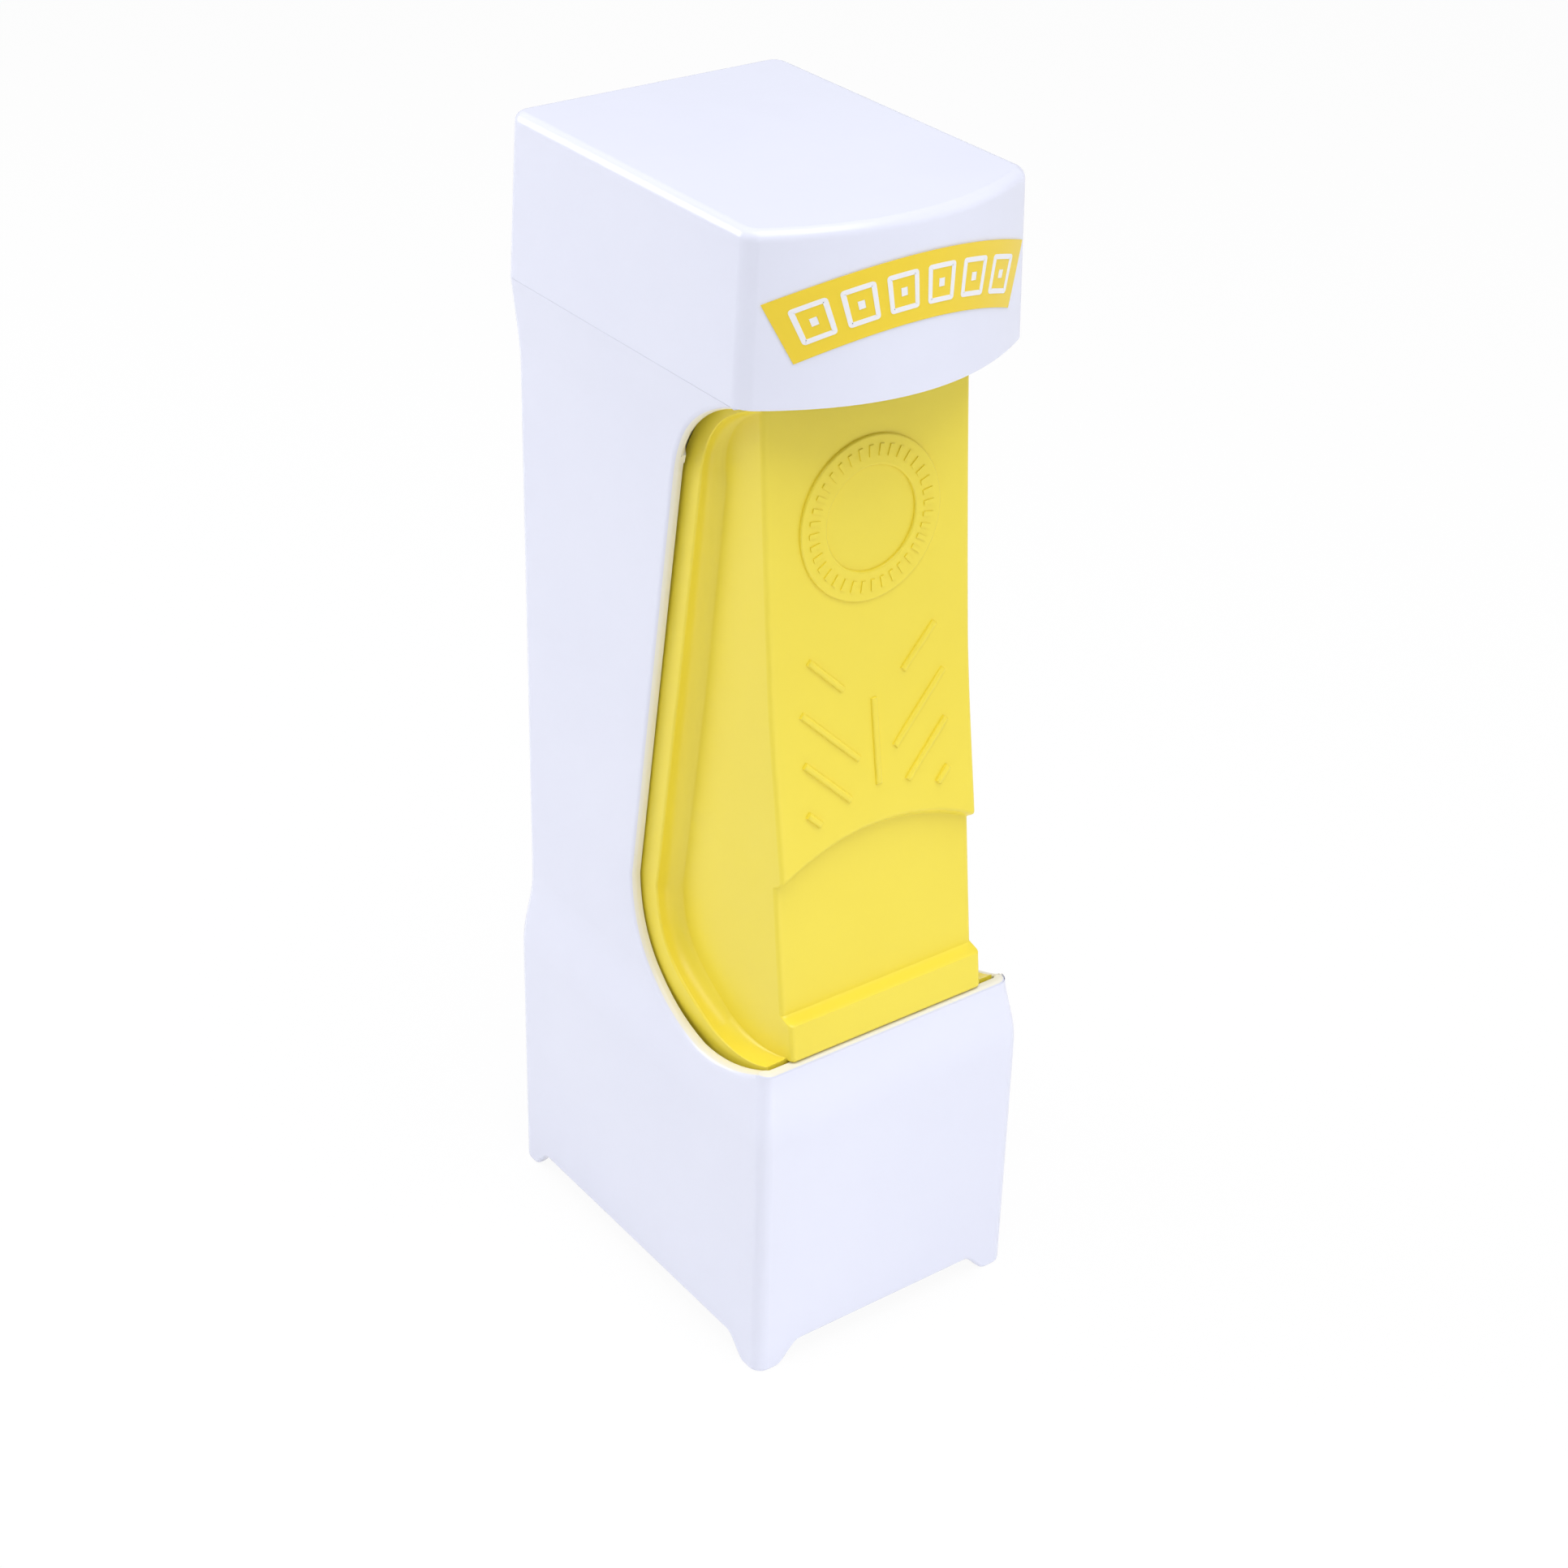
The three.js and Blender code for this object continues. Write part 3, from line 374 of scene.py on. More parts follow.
# the casing
casing = {
    "skirt": 51.0,          # top of the straight skirt
    "waist": 61.0,          # end of the flare
    "shoulder": 163.0,      # where it widens again to the lid
    "waistHalf": 25.9,
    "waistSetbacks": (2.0, 1.0),  # how far the waist stands in from the base, front and back
    "lidFront": -26.8,
    "frontRadius": 2.5,
    "backRadius": 3.0,
    "frontSteps": 10,
    "backSteps": 14,
    "flareSoftness": 3.0,
    "flareRows": 4,
    "flareSamples": 12,
    "wall": 1.9,
    "rimOuter": 1.1,        # the cutout's outer edge is rounder than its inner one
    "rimInner": 0.3,
    "rimOuterSteps": 6,
    "rimInnerSteps": 2,
    "rimAngle": 50,         # an edge is sharp from this angle on
    "rimBelowSeam": 0.3,
    "frontRimShare": 0.36,  # the front wall's top edge is crisper by this much
    "footRound": 0.7,
    "footRoundSteps": 4,
    "footFlat": 4.2,
    "footArch": 3.9,
    "footSlope": 5.0,
    "footSteps": 12,
    "reach": 60.0,          # tools run this far out sideways ...
    "overrun": 9.0,         # ... and this far up and down
}


# how far the walls lie outside the base's: at the sides, the front and the back
def casingProfile(z):
    c = casing
    front, back = c["waistSetbacks"]
    base, waist = (0, 0, 0), (c["waistHalf"] - casingHigh.x, -front, -back)
    top = (lidHigh.x - casingHigh.x, casingLow.y - c["lidFront"], lidHigh.y - casingHigh.y)
    stations = ((-c["reach"], base), (c["skirt"], base), (c["waist"], waist),
                (c["shoulder"], waist), (seam, top), (seam + c["reach"], top))
    for (lowZ, low), (highZ, high) in zip(stations, stations[1:]):
        if z <= highZ:
            share = (z - lowZ) / (highZ - lowZ)
            return Vector(low).lerp(Vector(high), share)


def softProfile(z, soften):
    samples = casing["flareSamples"]
    total = Vector((0, 0, 0))
    for i in range(samples):
        total += casingProfile(z + soften * (2 * (i + 0.5) / samples - 1))
    return total / samples


# the casing's outer form, or its inside where inset is the wall
def casingBlank(inset=0.0):
    c = casing
    bm = bmesh.new()
    bmesh.ops.create_grid(bm, x_segments=1, y_segments=1, size=0.5)
    span = casingHigh - casingLow
    bmesh.ops.scale(bm, vec=(span.x - 2 * inset, span.y - 2 * inset, 1), verts=bm.verts)
    for sign, end in ((-1, "front"), (1, "back")):
        corners = [v for v in bm.verts if v.co.y * sign > casingHigh.y - inset - close]
        bevelCorners(bm, corners, c[end + "Radius"] - inset, c[end + "Steps"])
    bottom, top = (-c["overrun"], seam + c["overrun"]) if inset else (0.0, seam)
    # the inside stays straight above the waist
    last = c["shoulder"] - c["flareSoftness"] if inset else seam
    rings = (c["skirt"], c["waist"], c["shoulder"])
    rows = c["flareRows"]
    heights = [ring + c["flareSoftness"] * i / rows for ring in rings for i in range(-rows, rows + 1)]
    heights = [bottom, *sorted(z for z in heights if z <= last), top]
    bmesh.ops.delete(bm, geom=bm.faces[:], context="FACES_ONLY")
    bmesh.ops.translate(bm, vec=(0, 0, bottom), verts=bm.verts)
    loop = bm.edges[:]
    for lower, upper in zip(heights, heights[1:]):
        pulled = bmesh.ops.extrude_edge_only(bm, edges=loop)["geom"]
        loop = [item for item in pulled if isinstance(item, bmesh.types.BMEdge)]
        raised = [item for item in pulled if isinstance(item, bmesh.types.BMVert)]
        bmesh.ops.translate(bm, vec=(0, 0, upper - lower), verts=raised)
    bmesh.ops.holes_fill(bm, edges=[edge for edge in bm.edges if edge.is_boundary], sides=0)
    for vert in bm.verts:
        height = min(vert.co.z, last)
        out = softProfile(height, c["flareSoftness"]) if height < seam else casingProfile(seam)
        vert.co.x += out.x if vert.co.x > 0 else -out.x
        vert.co.y += out.z if vert.co.y > 0 else -out.y
    bmesh.ops.recalc_face_normals(bm, faces=bm.faces)
    return newObject(bm, "casing_shell", [whitePlastic])


def footTools():
    c = casing
    tools = []
    for reach, turn in ((casingHigh.y, 0), (casingHigh.x, 90)):
        half = reach - c["footFlat"]
        slope = []
        for i in range(c["footSteps"] + 1):
            share = i / c["footSteps"]
            slope.append((half - c["footSlope"] * share, c["footArch"] * easeStep(0, 1, share)))
        farSlope = [(-y, z) for y, z in slope[::-1]]
        outline = [(-half, -c["overrun"]), (half, -c["overrun"]), *slope, *farSlope]
        bm = prism(outline, -c["reach"], c["reach"])
        quarter = Matrix.Rotation(math.radians(turn), 3, "Z")
        bmesh.ops.rotate(bm, cent=(0, 0, 0), matrix=quarter, verts=bm.verts)
        tools.append(newObject(bm, "foot arch", [whitePlastic]))
    return tools


def facesOut(face):
    centre = face.calc_center_median()
    return face.normal.x * centre.x + face.normal.y * centre.y > casing["overrun"]


# gives the front wall's top edge a smaller round than the rest of the rim
def crispenFront(bm, corner):
    c = casing
    reach = c["rimOuter"] + overlap
    flatHalf = c["waistHalf"] - c["frontRadius"] + overlap
    for vert in bm.verts:
        atTop = corner.z - reach < vert.co.z < corner.z + overlap
        if atTop and abs(vert.co.x) < flatHalf and vert.co.y < corner.y + reach:
            vert.co.y = corner.y + (vert.co.y - corner.y) * c["frontRimShare"]
            vert.co.z = corner.z + (vert.co.z - corner.z) * c["frontRimShare"]


def makeCasing():
    c = casing
    obj = casingBlank()
    carve(obj, casingBlank(c["wall"]))
    edge = cutoutEdge(0)
    above = seam + c["overrun"]
    outline = [(-c["reach"], above), (edge[0][0], above), *edge, (-c["reach"], edge[-1][1])]
    # the window's cut faces take the cream edge material, whose tint is painted yellow bounce light
    carve(obj, newObject(prism(outline, -c["reach"], c["reach"]), "window", [paintedBounceEdge]))
    for tool in footTools():
        carve(obj, tool)
    bm = edit(obj)

    def onRim(edge):
        return isSharp(edge, c["rimAngle"]) and all(
            c["skirt"] < v.co.z < seam - c["rimBelowSeam"] for v in edge.verts)

    def onOuterRim(edge):
        return onRim(edge) and any(facesOut(face) for face in edge.link_faces)

    def onFoot(edge):
        return isSharp(edge, c["rimAngle"]) and edge.verts[0].co.z < c["footArch"] + 1

    bevelEdges(bm, onOuterRim, c["rimOuter"], c["rimOuterSteps"])
    bevelEdges(bm, lambda e: onRim(e) and not onOuterRim(e), c["rimInner"], c["rimInnerSteps"])
    bevelEdges(bm, onFoot, c["footRound"], c["footRoundSteps"])
    for vert in bm.verts:
        vert.co.z = min(vert.co.z, seam)
    crispenFront(bm, Vector((0, casingLow.y + c["waistSetbacks"][0], edge[-1][1])))
    store(bm, obj)
    return seat(obj, "base", ["body_casing"])


# bosses and studs inside the casing, given for its +x side and run a little way into the wall
bosses = {
    "blocks": (             # lowest and highest corner of each
        ((21.8, -23.0, 47.9), (26.6, -17.0, 53.9)),
        ((21.8, 22.0, 47.9), (26.6, 28.0, 53.9)),
        ((18.3, 5.0, 158.2), (25.0, 12.0, 172.2)),
        ((18.3, 25.0, 158.2), (25.0, 32.0, 172.2)),
    ),
    "round": 0.3,
    "roundSteps": 2,
    "studPlace": (8.0, 36.2, 44.6),
    "studRadius": 3.0,
    "studLength": 1.4,
    "holePlaces": (         # the screw holes' middles, in the same order as the blocks
        (23.55, -20.0, 48.9), (23.55, 25.0, 48.9), (20.5, 8.5, 168.25), (20.5, 28.5, 168.25)),
    "holeRadius": 1.1,
    "holeLength": 8.1,
    "studHolePlace": (8.0, 35.5, 44.6),
    "studHoleLength": 2.6,
}


def makeBosses():
    s = bosses
    bm = bmesh.new()
    for low, high in s["blocks"]:
        addBlock(bm, low, high)
    bevelEdges(bm, isSharp, s["round"], s["roundSteps"])
    addRod(bm, s["studRadius"], s["studLength"], s["studPlace"], "X")
    obj = bothSides(bm, "casing_bosses", whitePlastic)
    bm = bmesh.new()
    for place in s["holePlaces"]:
        addRod(bm, s["holeRadius"], s["holeLength"], place)
    addRod(bm, s["holeRadius"], s["studHoleLength"], s["studHolePlace"], "X")
    carve(obj, bothSides(bm, "screw holes", whitePlastic))
    return seat(obj, "base")


makeCasing()
makeBosses()
print("casing made")


# the lid
lid = {
    "front": casing["lidFront"],
    "draft": 1.0,
    "backDraft": 0.7,
    "frontRadius": 2.0,
    "frontSteps": 8,
    "backRadius": 3.0,
    "backSteps": 12,
    "bowTop": 7.2,
    "bowBottom": 9.2,
    "topRound": 1.7,
    "topSteps": 6,
    "rimRound": 0.06,
    "rimSteps": 2,
    "rimAngle": 60,
    "gap": 0.02,            # the seam under the lid
    "wall": 1.8,
    "strips": 30,
}


def lidShare(z):
    return (z - seam) / (lidHigh.z - seam)


def lidBow(share):
    return lid["bowBottom"] + (lid["bowTop"] - lid["bowBottom"]) * share


# the lid's bowed front, as y, at a place across and up it
def lidFrontAt(x, z):
    share = lidShare(z)
    half = lidHigh.x - lid["draft"] * share
    return lid["front"] - lidBow(share) * (1 - (x / half) ** 2)


def makeLid():
    s = lid
    bottom = seam + s["gap"]
    bm = block((lidLow.x, s["front"], bottom), lidHigh)

    def upright(edge):
        return abs(edge.verts[0].co.z - edge.verts[1].co.z) > 1

    def atFront(edge):
        return all(v.co.y < s["front"] + close for v in edge.verts)

    def atBack(edge):
        return edge.verts[0].co.y > lidHigh.y - close

    def atTop(edge):
        return all(v.co.z > lidHigh.z - close for v in edge.verts)

    bevelEdges(bm, lambda e: upright(e) and e.verts[0].co.y < 0, s["frontRadius"], s["frontSteps"])
    bevelEdges(bm, lambda e: upright(e) and atBack(e), s["backRadius"], s["backSteps"])
    across = [e for e in bm.edges if atFront(e) and not upright(e) and e.calc_length() > lidHigh.x]
    bmesh.ops.subdivide_edges(bm, edges=across, cuts=s["strips"] - 1, use_grid_fill=True)
    middle = (s["front"] + lidHigh.y) / 2
    for vert in bm.verts:
        share = lidShare(vert.co.z)
        x, y = vert.co.x, vert.co.y
        fade = max(1 - (y - s["front"]) / s["frontRadius"], 0)
        vert.co.y -= lidBow(share) * (1 - (x / lidHigh.x) ** 2) * fade
        vert.co.x *= 1 - s["draft"] * share / lidHigh.x
        if y > middle:
            vert.co.y -= s["backDraft"] * share
    bevelEdges(bm, atTop, s["topRound"], s["topSteps"])
    underside = [face for face in bm.faces if face.normal.z < -0.99]
    bmesh.ops.delete(bm, geom=underside, context="FACES")
    obj = newObject(bm, "lid_shell", [whitePlastic])
    wall = obj.modifiers.new("wall", "SOLIDIFY")
    wall.thickness = s["wall"]
    wall.offset = -1
    wall.use_even_offset = True
    bake(obj)
    bm = edit(obj)

    def atRim(edge):
        return isSharp(edge, s["rimAngle"]) and edge.verts[0].co.z < bottom + 1

    bevelEdges(bm, atRim, s["rimRound"], s["rimSteps"])
    for vert in bm.verts:
        vert.co.z = max(vert.co.z, bottom)
    store(bm, obj)
    return seat(obj, "lid", ["lid_cap"])


makeLid()
print("lid made")


# the printed band on the lid's front, with a row of plain marks
band = {
    "topHalf": 24.2,
    "bottomHalf": 20.0,
    "rise": 11.2,
    "height": 10.0,
    "topSag": 5.0,
    "bottomSag": 4.1,
    "columns": 60,
    "rows": 8,
    "standoff": 0.02,
    "thickness": 0.12,
    "marks": 6,
    "markWidth": 5.2,
    "markHeight": 5.8,
    "markRound": 0.55,
    "markRoundSteps": 4,
    "markCuts": 3,          # in each side, so that it follows the lid's bow
    "markStroke": 0.75,
    "markPitch": 6.9,
    "markCentreShare": 0.28,
    "markLift": 0.07,
}


# u runs -1 to 1 across the band and v 0 to 1 up it
def ontoBand(u, v, lift):
    s = band
    half = s["bottomHalf"] + (s["topHalf"] - s["bottomHalf"]) * v
    sag = s["bottomSag"] + (s["topSag"] - s["bottomSag"]) * v
    x = half * u
    z = seam + s["rise"] + s["height"] * v - sag * u * u
    return Vector((x, lidFrontAt(x, z) - lift, z))


# a printed film, from a sheet that lies over the lid's front
def printFilm(bm, name, material, thickness):
    bmesh.ops.recalc_face_normals(bm, faces=bm.faces)
    if bm.faces[:][0].normal.y > 0:
        bmesh.ops.reverse_faces(bm, faces=bm.faces)
    obj = newObject(bm, name, [material])
    film = obj.modifiers.new("film", "SOLIDIFY")
    film.thickness = thickness
    film.offset = 1
    return bake(obj)


def makeBand():
    s = band
    bm = bmesh.new()
    bmesh.ops.create_grid(bm, x_segments=s["columns"], y_segments=s["rows"], size=1)
    for vert in bm.verts:
        vert.co = ontoBand(vert.co.x, (vert.co.y + 1) / 2, s["standoff"])
    obj = printFilm(bm, "band_print", printYellow, s["thickness"])
    return seat(obj, "lid", ["lid_band"])


def makeBandMarks():
    s = band
    bm = bmesh.new()
    middleHalf = (s["bottomHalf"] + s["topHalf"]) / 2
    for i in range(s["marks"]):
        fresh = bmesh.ops.create_grid(bm, x_segments=1, y_segments=1, size=0.5)["verts"]
        bmesh.ops.scale(bm, vec=(s["markWidth"], s["markHeight"], 1), verts=fresh)
        place = (i - (s["marks"] - 1) / 2) * s["markPitch"]
        bmesh.ops.translate(bm, vec=(place, 0, 0), verts=fresh)
    bevelCorners(bm, bm.verts[:], s["markRound"], s["markRoundSteps"])
    inner = bm.faces[:]
    bmesh.ops.inset_individual(bm, faces=inner, thickness=s["markStroke"], use_even_offset=True)
    centres = bmesh.ops.split(bm, geom=inner)["geom"]
    for face in [item for item in centres if isinstance(item, bmesh.types.BMFace)]:
        toMiddle = Matrix.Translation(-face.calc_center_median())
        shrink = [s["markCentreShare"]] * 3
        bmesh.ops.scale(bm, vec=shrink, space=toMiddle, verts=face.verts[:])
    sides = [edge for edge in bm.edges if edge.calc_length() > 2]
    bmesh.ops.subdivide_edges(bm, edges=sides, cuts=s["markCuts"], use_grid_fill=True)
    lift = s["thickness"] + s["standoff"]
    for vert in bm.verts:
        vert.co = ontoBand(vert.co.x / middleHalf, vert.co.y / s["height"] + 0.5, lift)
    obj = printFilm(bm, "band_marks", printWhite, s["markLift"])
    return seat(obj, "lid")


makeBand()
makeBandMarks()
print("band made")


# the squeeze lever
lever = {
    "half": 19.9,
    "wall": 1.6,
    "reach": 60.0,          # tools run this far out
    "blankDepth": 50.0,
    "blankSpare": (4.0, 3.0),  # the blank runs on this far at its foot and its head
    "columns": 20,          # across the face
    "rowPitch": 3.0,        # up the face
    "bottom": 61.7,
    "top": 185.5,
    "lowHeight": 61.0,      # the face leans from here ...
    "highHeight": 176.0,    # ... to here
    "lowFront": -34.1,
    "lean": 11.2,
    "sag": 0.85,
    "edgeRound": 0.9,
    "edgeSteps": 5,
    "swell": 1.3,           # the face stands this far out round the thumb hollow ...
    "swellFoot": 96.0,
    "swellEnd": 126.0,      # ... and falls back to the plain lean here
    "lipRound": 0.5,
    "lipRows": 5,
    "ledge": 69.2,          # foot of the thumb hollow
    "ledgeSoft": 0.9,
    "ledgeRows": 6,
    "arch": 100.0,          # top of the thumb hollow, at the middle
    "archSag": 5.3,
    "archSagFull": 4.0,     # the rows this near the arch follow its curve in full ...
    "archSagGone": 24.0,    # ... and those this far off lie level ...
    "archSagShift": 1.0,    # ... both from a line this far below the arch
    "archSoft": 2.4,
    "archRows": 12,
    "archSkew": 1.5,        # rounder above the step than below it
    "hollow": 0.85,         # the hollow's depth behind the plain lean
    "lip": 1.5,             # the lip's reach in front of it
    "insideFoot": 40.0,     # the inner wall follows the face from here up, row by row ...
    "insidePitch": 2.0,
    "insideRows": 80,
    "insideSpan": 2.5,      # ... behind the deepest place of the face within this
    "earBack": -12.97,
    "pivot": (-17.671, 181.0),
    "bore": 2.8,
    "boreSteps": 40,
    "boreLength": 80.0,
    "tailFront": -33.8,
    "tailBack": -32.0,
    "tailBottom": 57.0,
    "tailTop": 63.3,
    "tailInset": 1.0,
    "brimHalf": 23.7,
    "brimShow": 4.2,        # how much of the brim shows inside the cutout ...
    "brimTopShare": 0.3,    # ... the share of that which shows under the lid ...
    "brimFrontShare": 0.06,  # ... and the share which is left at its front end
    "brimTaper": -8.0,      # where the front stretch starts to thin out, as y
    "brimLap": 0.3,         # how far the cheek runs into the brim
    "brimRoot": 1.0,        # how far the brim runs into the cheek
    "brimTuck": 1.6,        # how far it runs on behind the casing's edge ...
    "brimTuckLow": 2.6,     # ... and below, from tuckStart to tuckEnd, as y
    "brimTuckStart": 0.0,
    "brimTuckEnd": -8.0,
    "brimRound": 0.4,
    "brimRoundSteps": 4,
    "brimFillet": 2.8,
    "brimFilletSteps": 8,
    "brimTopNarrow": 0.342,  # the brim is narrower where it runs up inside the collar
    "brimTopStart": 154.0,
    "brimTopEnd": 168.0,
    "topFace": -22.9,       # the face just under the lid, as y
    "brimAhead": 1.5,       # the brim begins this far ahead of it ...
    "brimAbove": 1.0,       # ... and takes in all the low stretch up to this much over lowHeight
    "faceGap": 0.3,         # from the face back to the brim
    "forkFront": -31.5,
    "forkBack": -23.5,
    "forkBottom": 48.8,
    "forkSlot": 3.9,
    "forkSlotTop": 55.6,
}


def faceAt(z):
    s = lever
    share = (z - s["lowHeight"]) / (s["highHeight"] - s["lowHeight"])
    return s["lowFront"] + s["lean"] * share + 4 * s["sag"] * share * (1 - share)


def faceSlope(z):
    return math.atan2(faceAt(z + 1) + faceSink(z + 1) - faceAt(z - 1) - faceSink(z - 1), 2)


# how far the face lies behind its plain lean, at a height on the lever's middle line
def faceSink(z):
    s = lever
    above = -s["swell"] * (1 - easeStep(s["swellFoot"], s["swellEnd"], z))
    drop = min(max((s["arch"] - z) / s["archSoft"], 0), 1)
    intoHollow = easeStep(0, 1, drop ** s["archSkew"])
    outOfHollow = 1 - easeStep(s["ledge"] - s["ledgeSoft"], s["ledge"], z)
    sink = above + (s["hollow"] - above) * intoHollow
    sink += (-s["lip"] - sink) * outOfHollow
    lip = min(max(s["lipRound"] - (z - s["bottom"]), 0), s["lipRound"])
    curl = s["lipRound"] - math.sqrt(s["lipRound"] ** 2 - lip ** 2)
    return sink + curl


# the deepest the face lies near a height, for the wall behind it
def deepestSink(z):
    s = lever
    lowest = s["bottom"] + s["lipRound"]
    return max(faceSink(max(z + s["insideSpan"] * i / 5, lowest)) for i in range(-5, 6))


def evenRows(foot, height, count):
    return [foot + height * i / count for i in range(count + 1)]


def rowHeights():
    s = lever
    rows = evenRows(s["bottom"], s["lipRound"], s["lipRows"])
    rows += evenRows(s["ledge"] - s["ledgeSoft"], s["ledgeSoft"], s["ledgeRows"])
    rows += evenRows(s["arch"] - s["archSoft"], s["archSoft"], s["archRows"])
    height = s["ledge"] + s["rowPitch"]
    while height < s["top"]:
        if not s["arch"] - s["archSoft"] - 1 < height < s["arch"] + 1:
            rows.append(height)
        height += s["rowPitch"]
    return rows


# how far a row of the face follows the arch's curve, from 0 to 1
def archPull(height):
    s = lever
    if abs(height - s["arch"]) >= s["archSagGone"] - s["archSagShift"]:
        return 0
    away = abs(height - s["arch"] + s["archSagShift"])
    return easeStep(s["archSagGone"], s["archSagFull"], away)


def leverBlank():
    s = lever
    foot, head = s["blankSpare"]
    bm = block((-s["half"], 0, s["tailBottom"] - foot), (s["half"], s["blankDepth"], s["top"] + head))
    for height in rowHeights():
        slicePlane(bm, (0, 0, height), (0, 0, 1))
    for i in range(1, s["columns"]):
        slicePlane(bm, (s["half"] * (2 * i / s["columns"] - 1), 0, 0), (1, 0, 0))

    def frontCorner(edge):
        return all(v.co.y < close and abs(v.co.x) > s["half"] - close for v in edge.verts)

    bevelEdges(bm, frontCorner, s["edgeRound"], s["edgeSteps"])
    for vert in bm.verts:
        if vert.co.y > s["edgeRound"] + close:
            continue
        height = vert.co.z
        vert.co.z -= s["archSag"] * (vert.co.x / s["half"]) ** 2 * archPull(height)
        vert.co.y += faceAt(vert.co.z) + faceSink(height)
    return newObject(bm, "lever_body", [leverPlastic])


# a line inside the cutout's edge, drawn in towards it at the front and under the lid
def brimEdge(offset):
    s = lever
    points = []
    for here, there in zip(cutoutEdge(0), cutoutEdge(offset)):
        y, z = there
        if z < s["arch"]:
            fall = easeStep(-s["brimTaper"], -s["tailFront"], -y)
            share = 1 - (1 - s["brimFrontShare"]) * fall
        else:
            fall = easeStep(s["brimTopStart"], s["brimTopEnd"], z)
            share = 1 - (1 - s["brimTopShare"]) * fall
        points.append(tuple(Vector(here).lerp(Vector(there), share)))
    return points


# the brim's outer edge, tucked in deeper below the cutout
def brimOuterEdge():
    s = lever
    points = []
    for here, there in zip(cutoutEdge(s["brimTuck"]), cutoutEdge(s["brimTuckLow"])):
        y, z = here
        deeper = easeStep(-s["brimTuckStart"], -s["brimTuckEnd"], -y) if z < s["arch"] else 0
        points.append(tuple(Vector(here).lerp(Vector(there), deeper)))
    return points


# what is kept of the blank, seen from the side, with room in front of the face
def leverProfile():
    s = lever
    rear = [(y, z) for y, z in brimEdge(s["brimLap"] - s["brimShow"])
            if y > s["tailFront"] and (y > s["earBack"] or z < s["lowHeight"])]
    return [(-s["reach"], s["bottom"]), (-s["reach"], s["top"]), (s["earBack"], s["top"]), *rear,
            (s["tailFront"], rear[-1][1]), (s["tailFront"], s["bottom"])]


# the brim's cross-section, as (offset from the cutout's edge, how far out in x)
def brimSection():
    s = lever
    root, top, inner = s["half"] - s["brimRoot"], s["brimHalf"], -s["brimShow"]
    section = [(s["brimTuck"], root), (s["brimTuck"], top)]

    def quarter(steps):
        for i in range(steps + 1):
            angle = math.radians(90 * i / steps)
            yield 1 - math.sin(angle), 1 - math.cos(angle)

    for rise, run in quarter(s["brimRoundSteps"]):
        section.append((inner + s["brimRound"] * rise, top - s["brimRound"] * run))
    reach = s["brimFillet"]
    for rise, run in quarter(s["brimFilletSteps"]):
        section.append((inner - reach * run, s["half"] - overlap + reach * rise))
    return [*section, (inner - reach, root)]


def brimBlank():
    s = lever
    foremost, lowest = s["topFace"] - s["brimAhead"], s["lowHeight"] + s["brimAbove"]
    picked = [i for i, (y, z) in enumerate(cutoutEdge(0)) if y > foremost or z < lowest]
    bm = bmesh.new()
    grid = []
    for offset, out in brimSection():
        edge = brimEdge(offset) if offset < s["brimTuck"] else brimOuterEdge()
        row = []
        for i in picked:
            y, z = edge[i]
            narrow = 1 - s["brimTopNarrow"] * easeStep(s["brimTopStart"], s["brimTopEnd"], z)
            x = s["half"] + (out - s["half"]) * (narrow if out > s["half"] else 1)
            y = max(y, faceAt(max(z, s["lowHeight"])) + s["faceGap"])
            row.append(bm.verts.new((x, y, z)))
        grid.append(row)
    for first, second in zip(grid, grid[1:] + grid[:1]):
        for a, b, c, d in zip(first, first[1:], second[1:], second):
            bm.faces.new((a, b, c, d))
    for end in (0, -1):
        bm.faces.new([row[end] for row in grid])
    bmesh.ops.remove_doubles(bm, verts=bm.verts, dist=weld)
    return bothSides(bm, "brim", leverPlastic)


def tailBlank():
    s = lever
    half = s["half"] - s["tailInset"]
    bm = block((-half, s["tailFront"], s["tailBottom"]), (half, s["tailBack"], s["tailTop"]))
    return newObject(bm, "tail", [leverPlastic])


def forkBlank():
    s = lever
    middle = (s["forkFront"] + s["forkBack"]) / 2
    slotHalf = s["forkSlot"] / 2
    outline = [(s["forkFront"], s["forkBottom"]), (middle - slotHalf, s["forkBottom"]),
               (middle - slotHalf, s["forkSlotTop"]), (middle + slotHalf, s["forkSlotTop"]),
               (middle + slotHalf, s["forkBottom"]), (s["forkBack"], s["forkBottom"]),
               (s["forkBack"], s["lowHeight"]), (s["forkFront"], s["lowHeight"])]
    bm = prism(outline, s["half"] - s["wall"] + overlap, s["half"] - overlap)
    return bothSides(bm, "forks", leverPlastic)


# raised work on the lever's face: a plain ring, and rays over the thumb hollow
relief = {
    "raise": 0.52,
    "sunk": 0.7,
    "round": 0.42,
    "roundSteps": 3,
    "ringHeight": 151.0,
    "ringRadius": 13.6,
    "ringWidth": 5.0,
    "ringRound": 0.35,
    "ringRoundSteps": 4,
    "ringSteps": 96,
    "beads": 36,
    "beadLength": 1.9,
    "beadWidth": 0.75,
    "beadRaise": 0.2,
    "rayTop": 130.2,
    "raySpread": 14.2,
    "rayPitch": 8.5,
    "rayLength": 15.0,
    "rayWidth": 1.15,
    "centreFoot": 105.7,
    "lengthShares": (0.62, 1, 0.8, 0.22),
    "spreadShares": (0.88, 1, 1, 1),
}


# lays a shape drawn flat in x and z onto the leaning face
def ontoFace(bm, verts, x, z, turn=0.0):
    place = Matrix.Translation((x, faceAt(z) + faceSink(z), z))
    lean, spin = Matrix.Rotation(-faceSlope(z), 4, "X"), Matrix.Rotation(turn, 4, "Y")
    bmesh.ops.transform(bm, matrix=place @ lean @ spin, verts=verts)


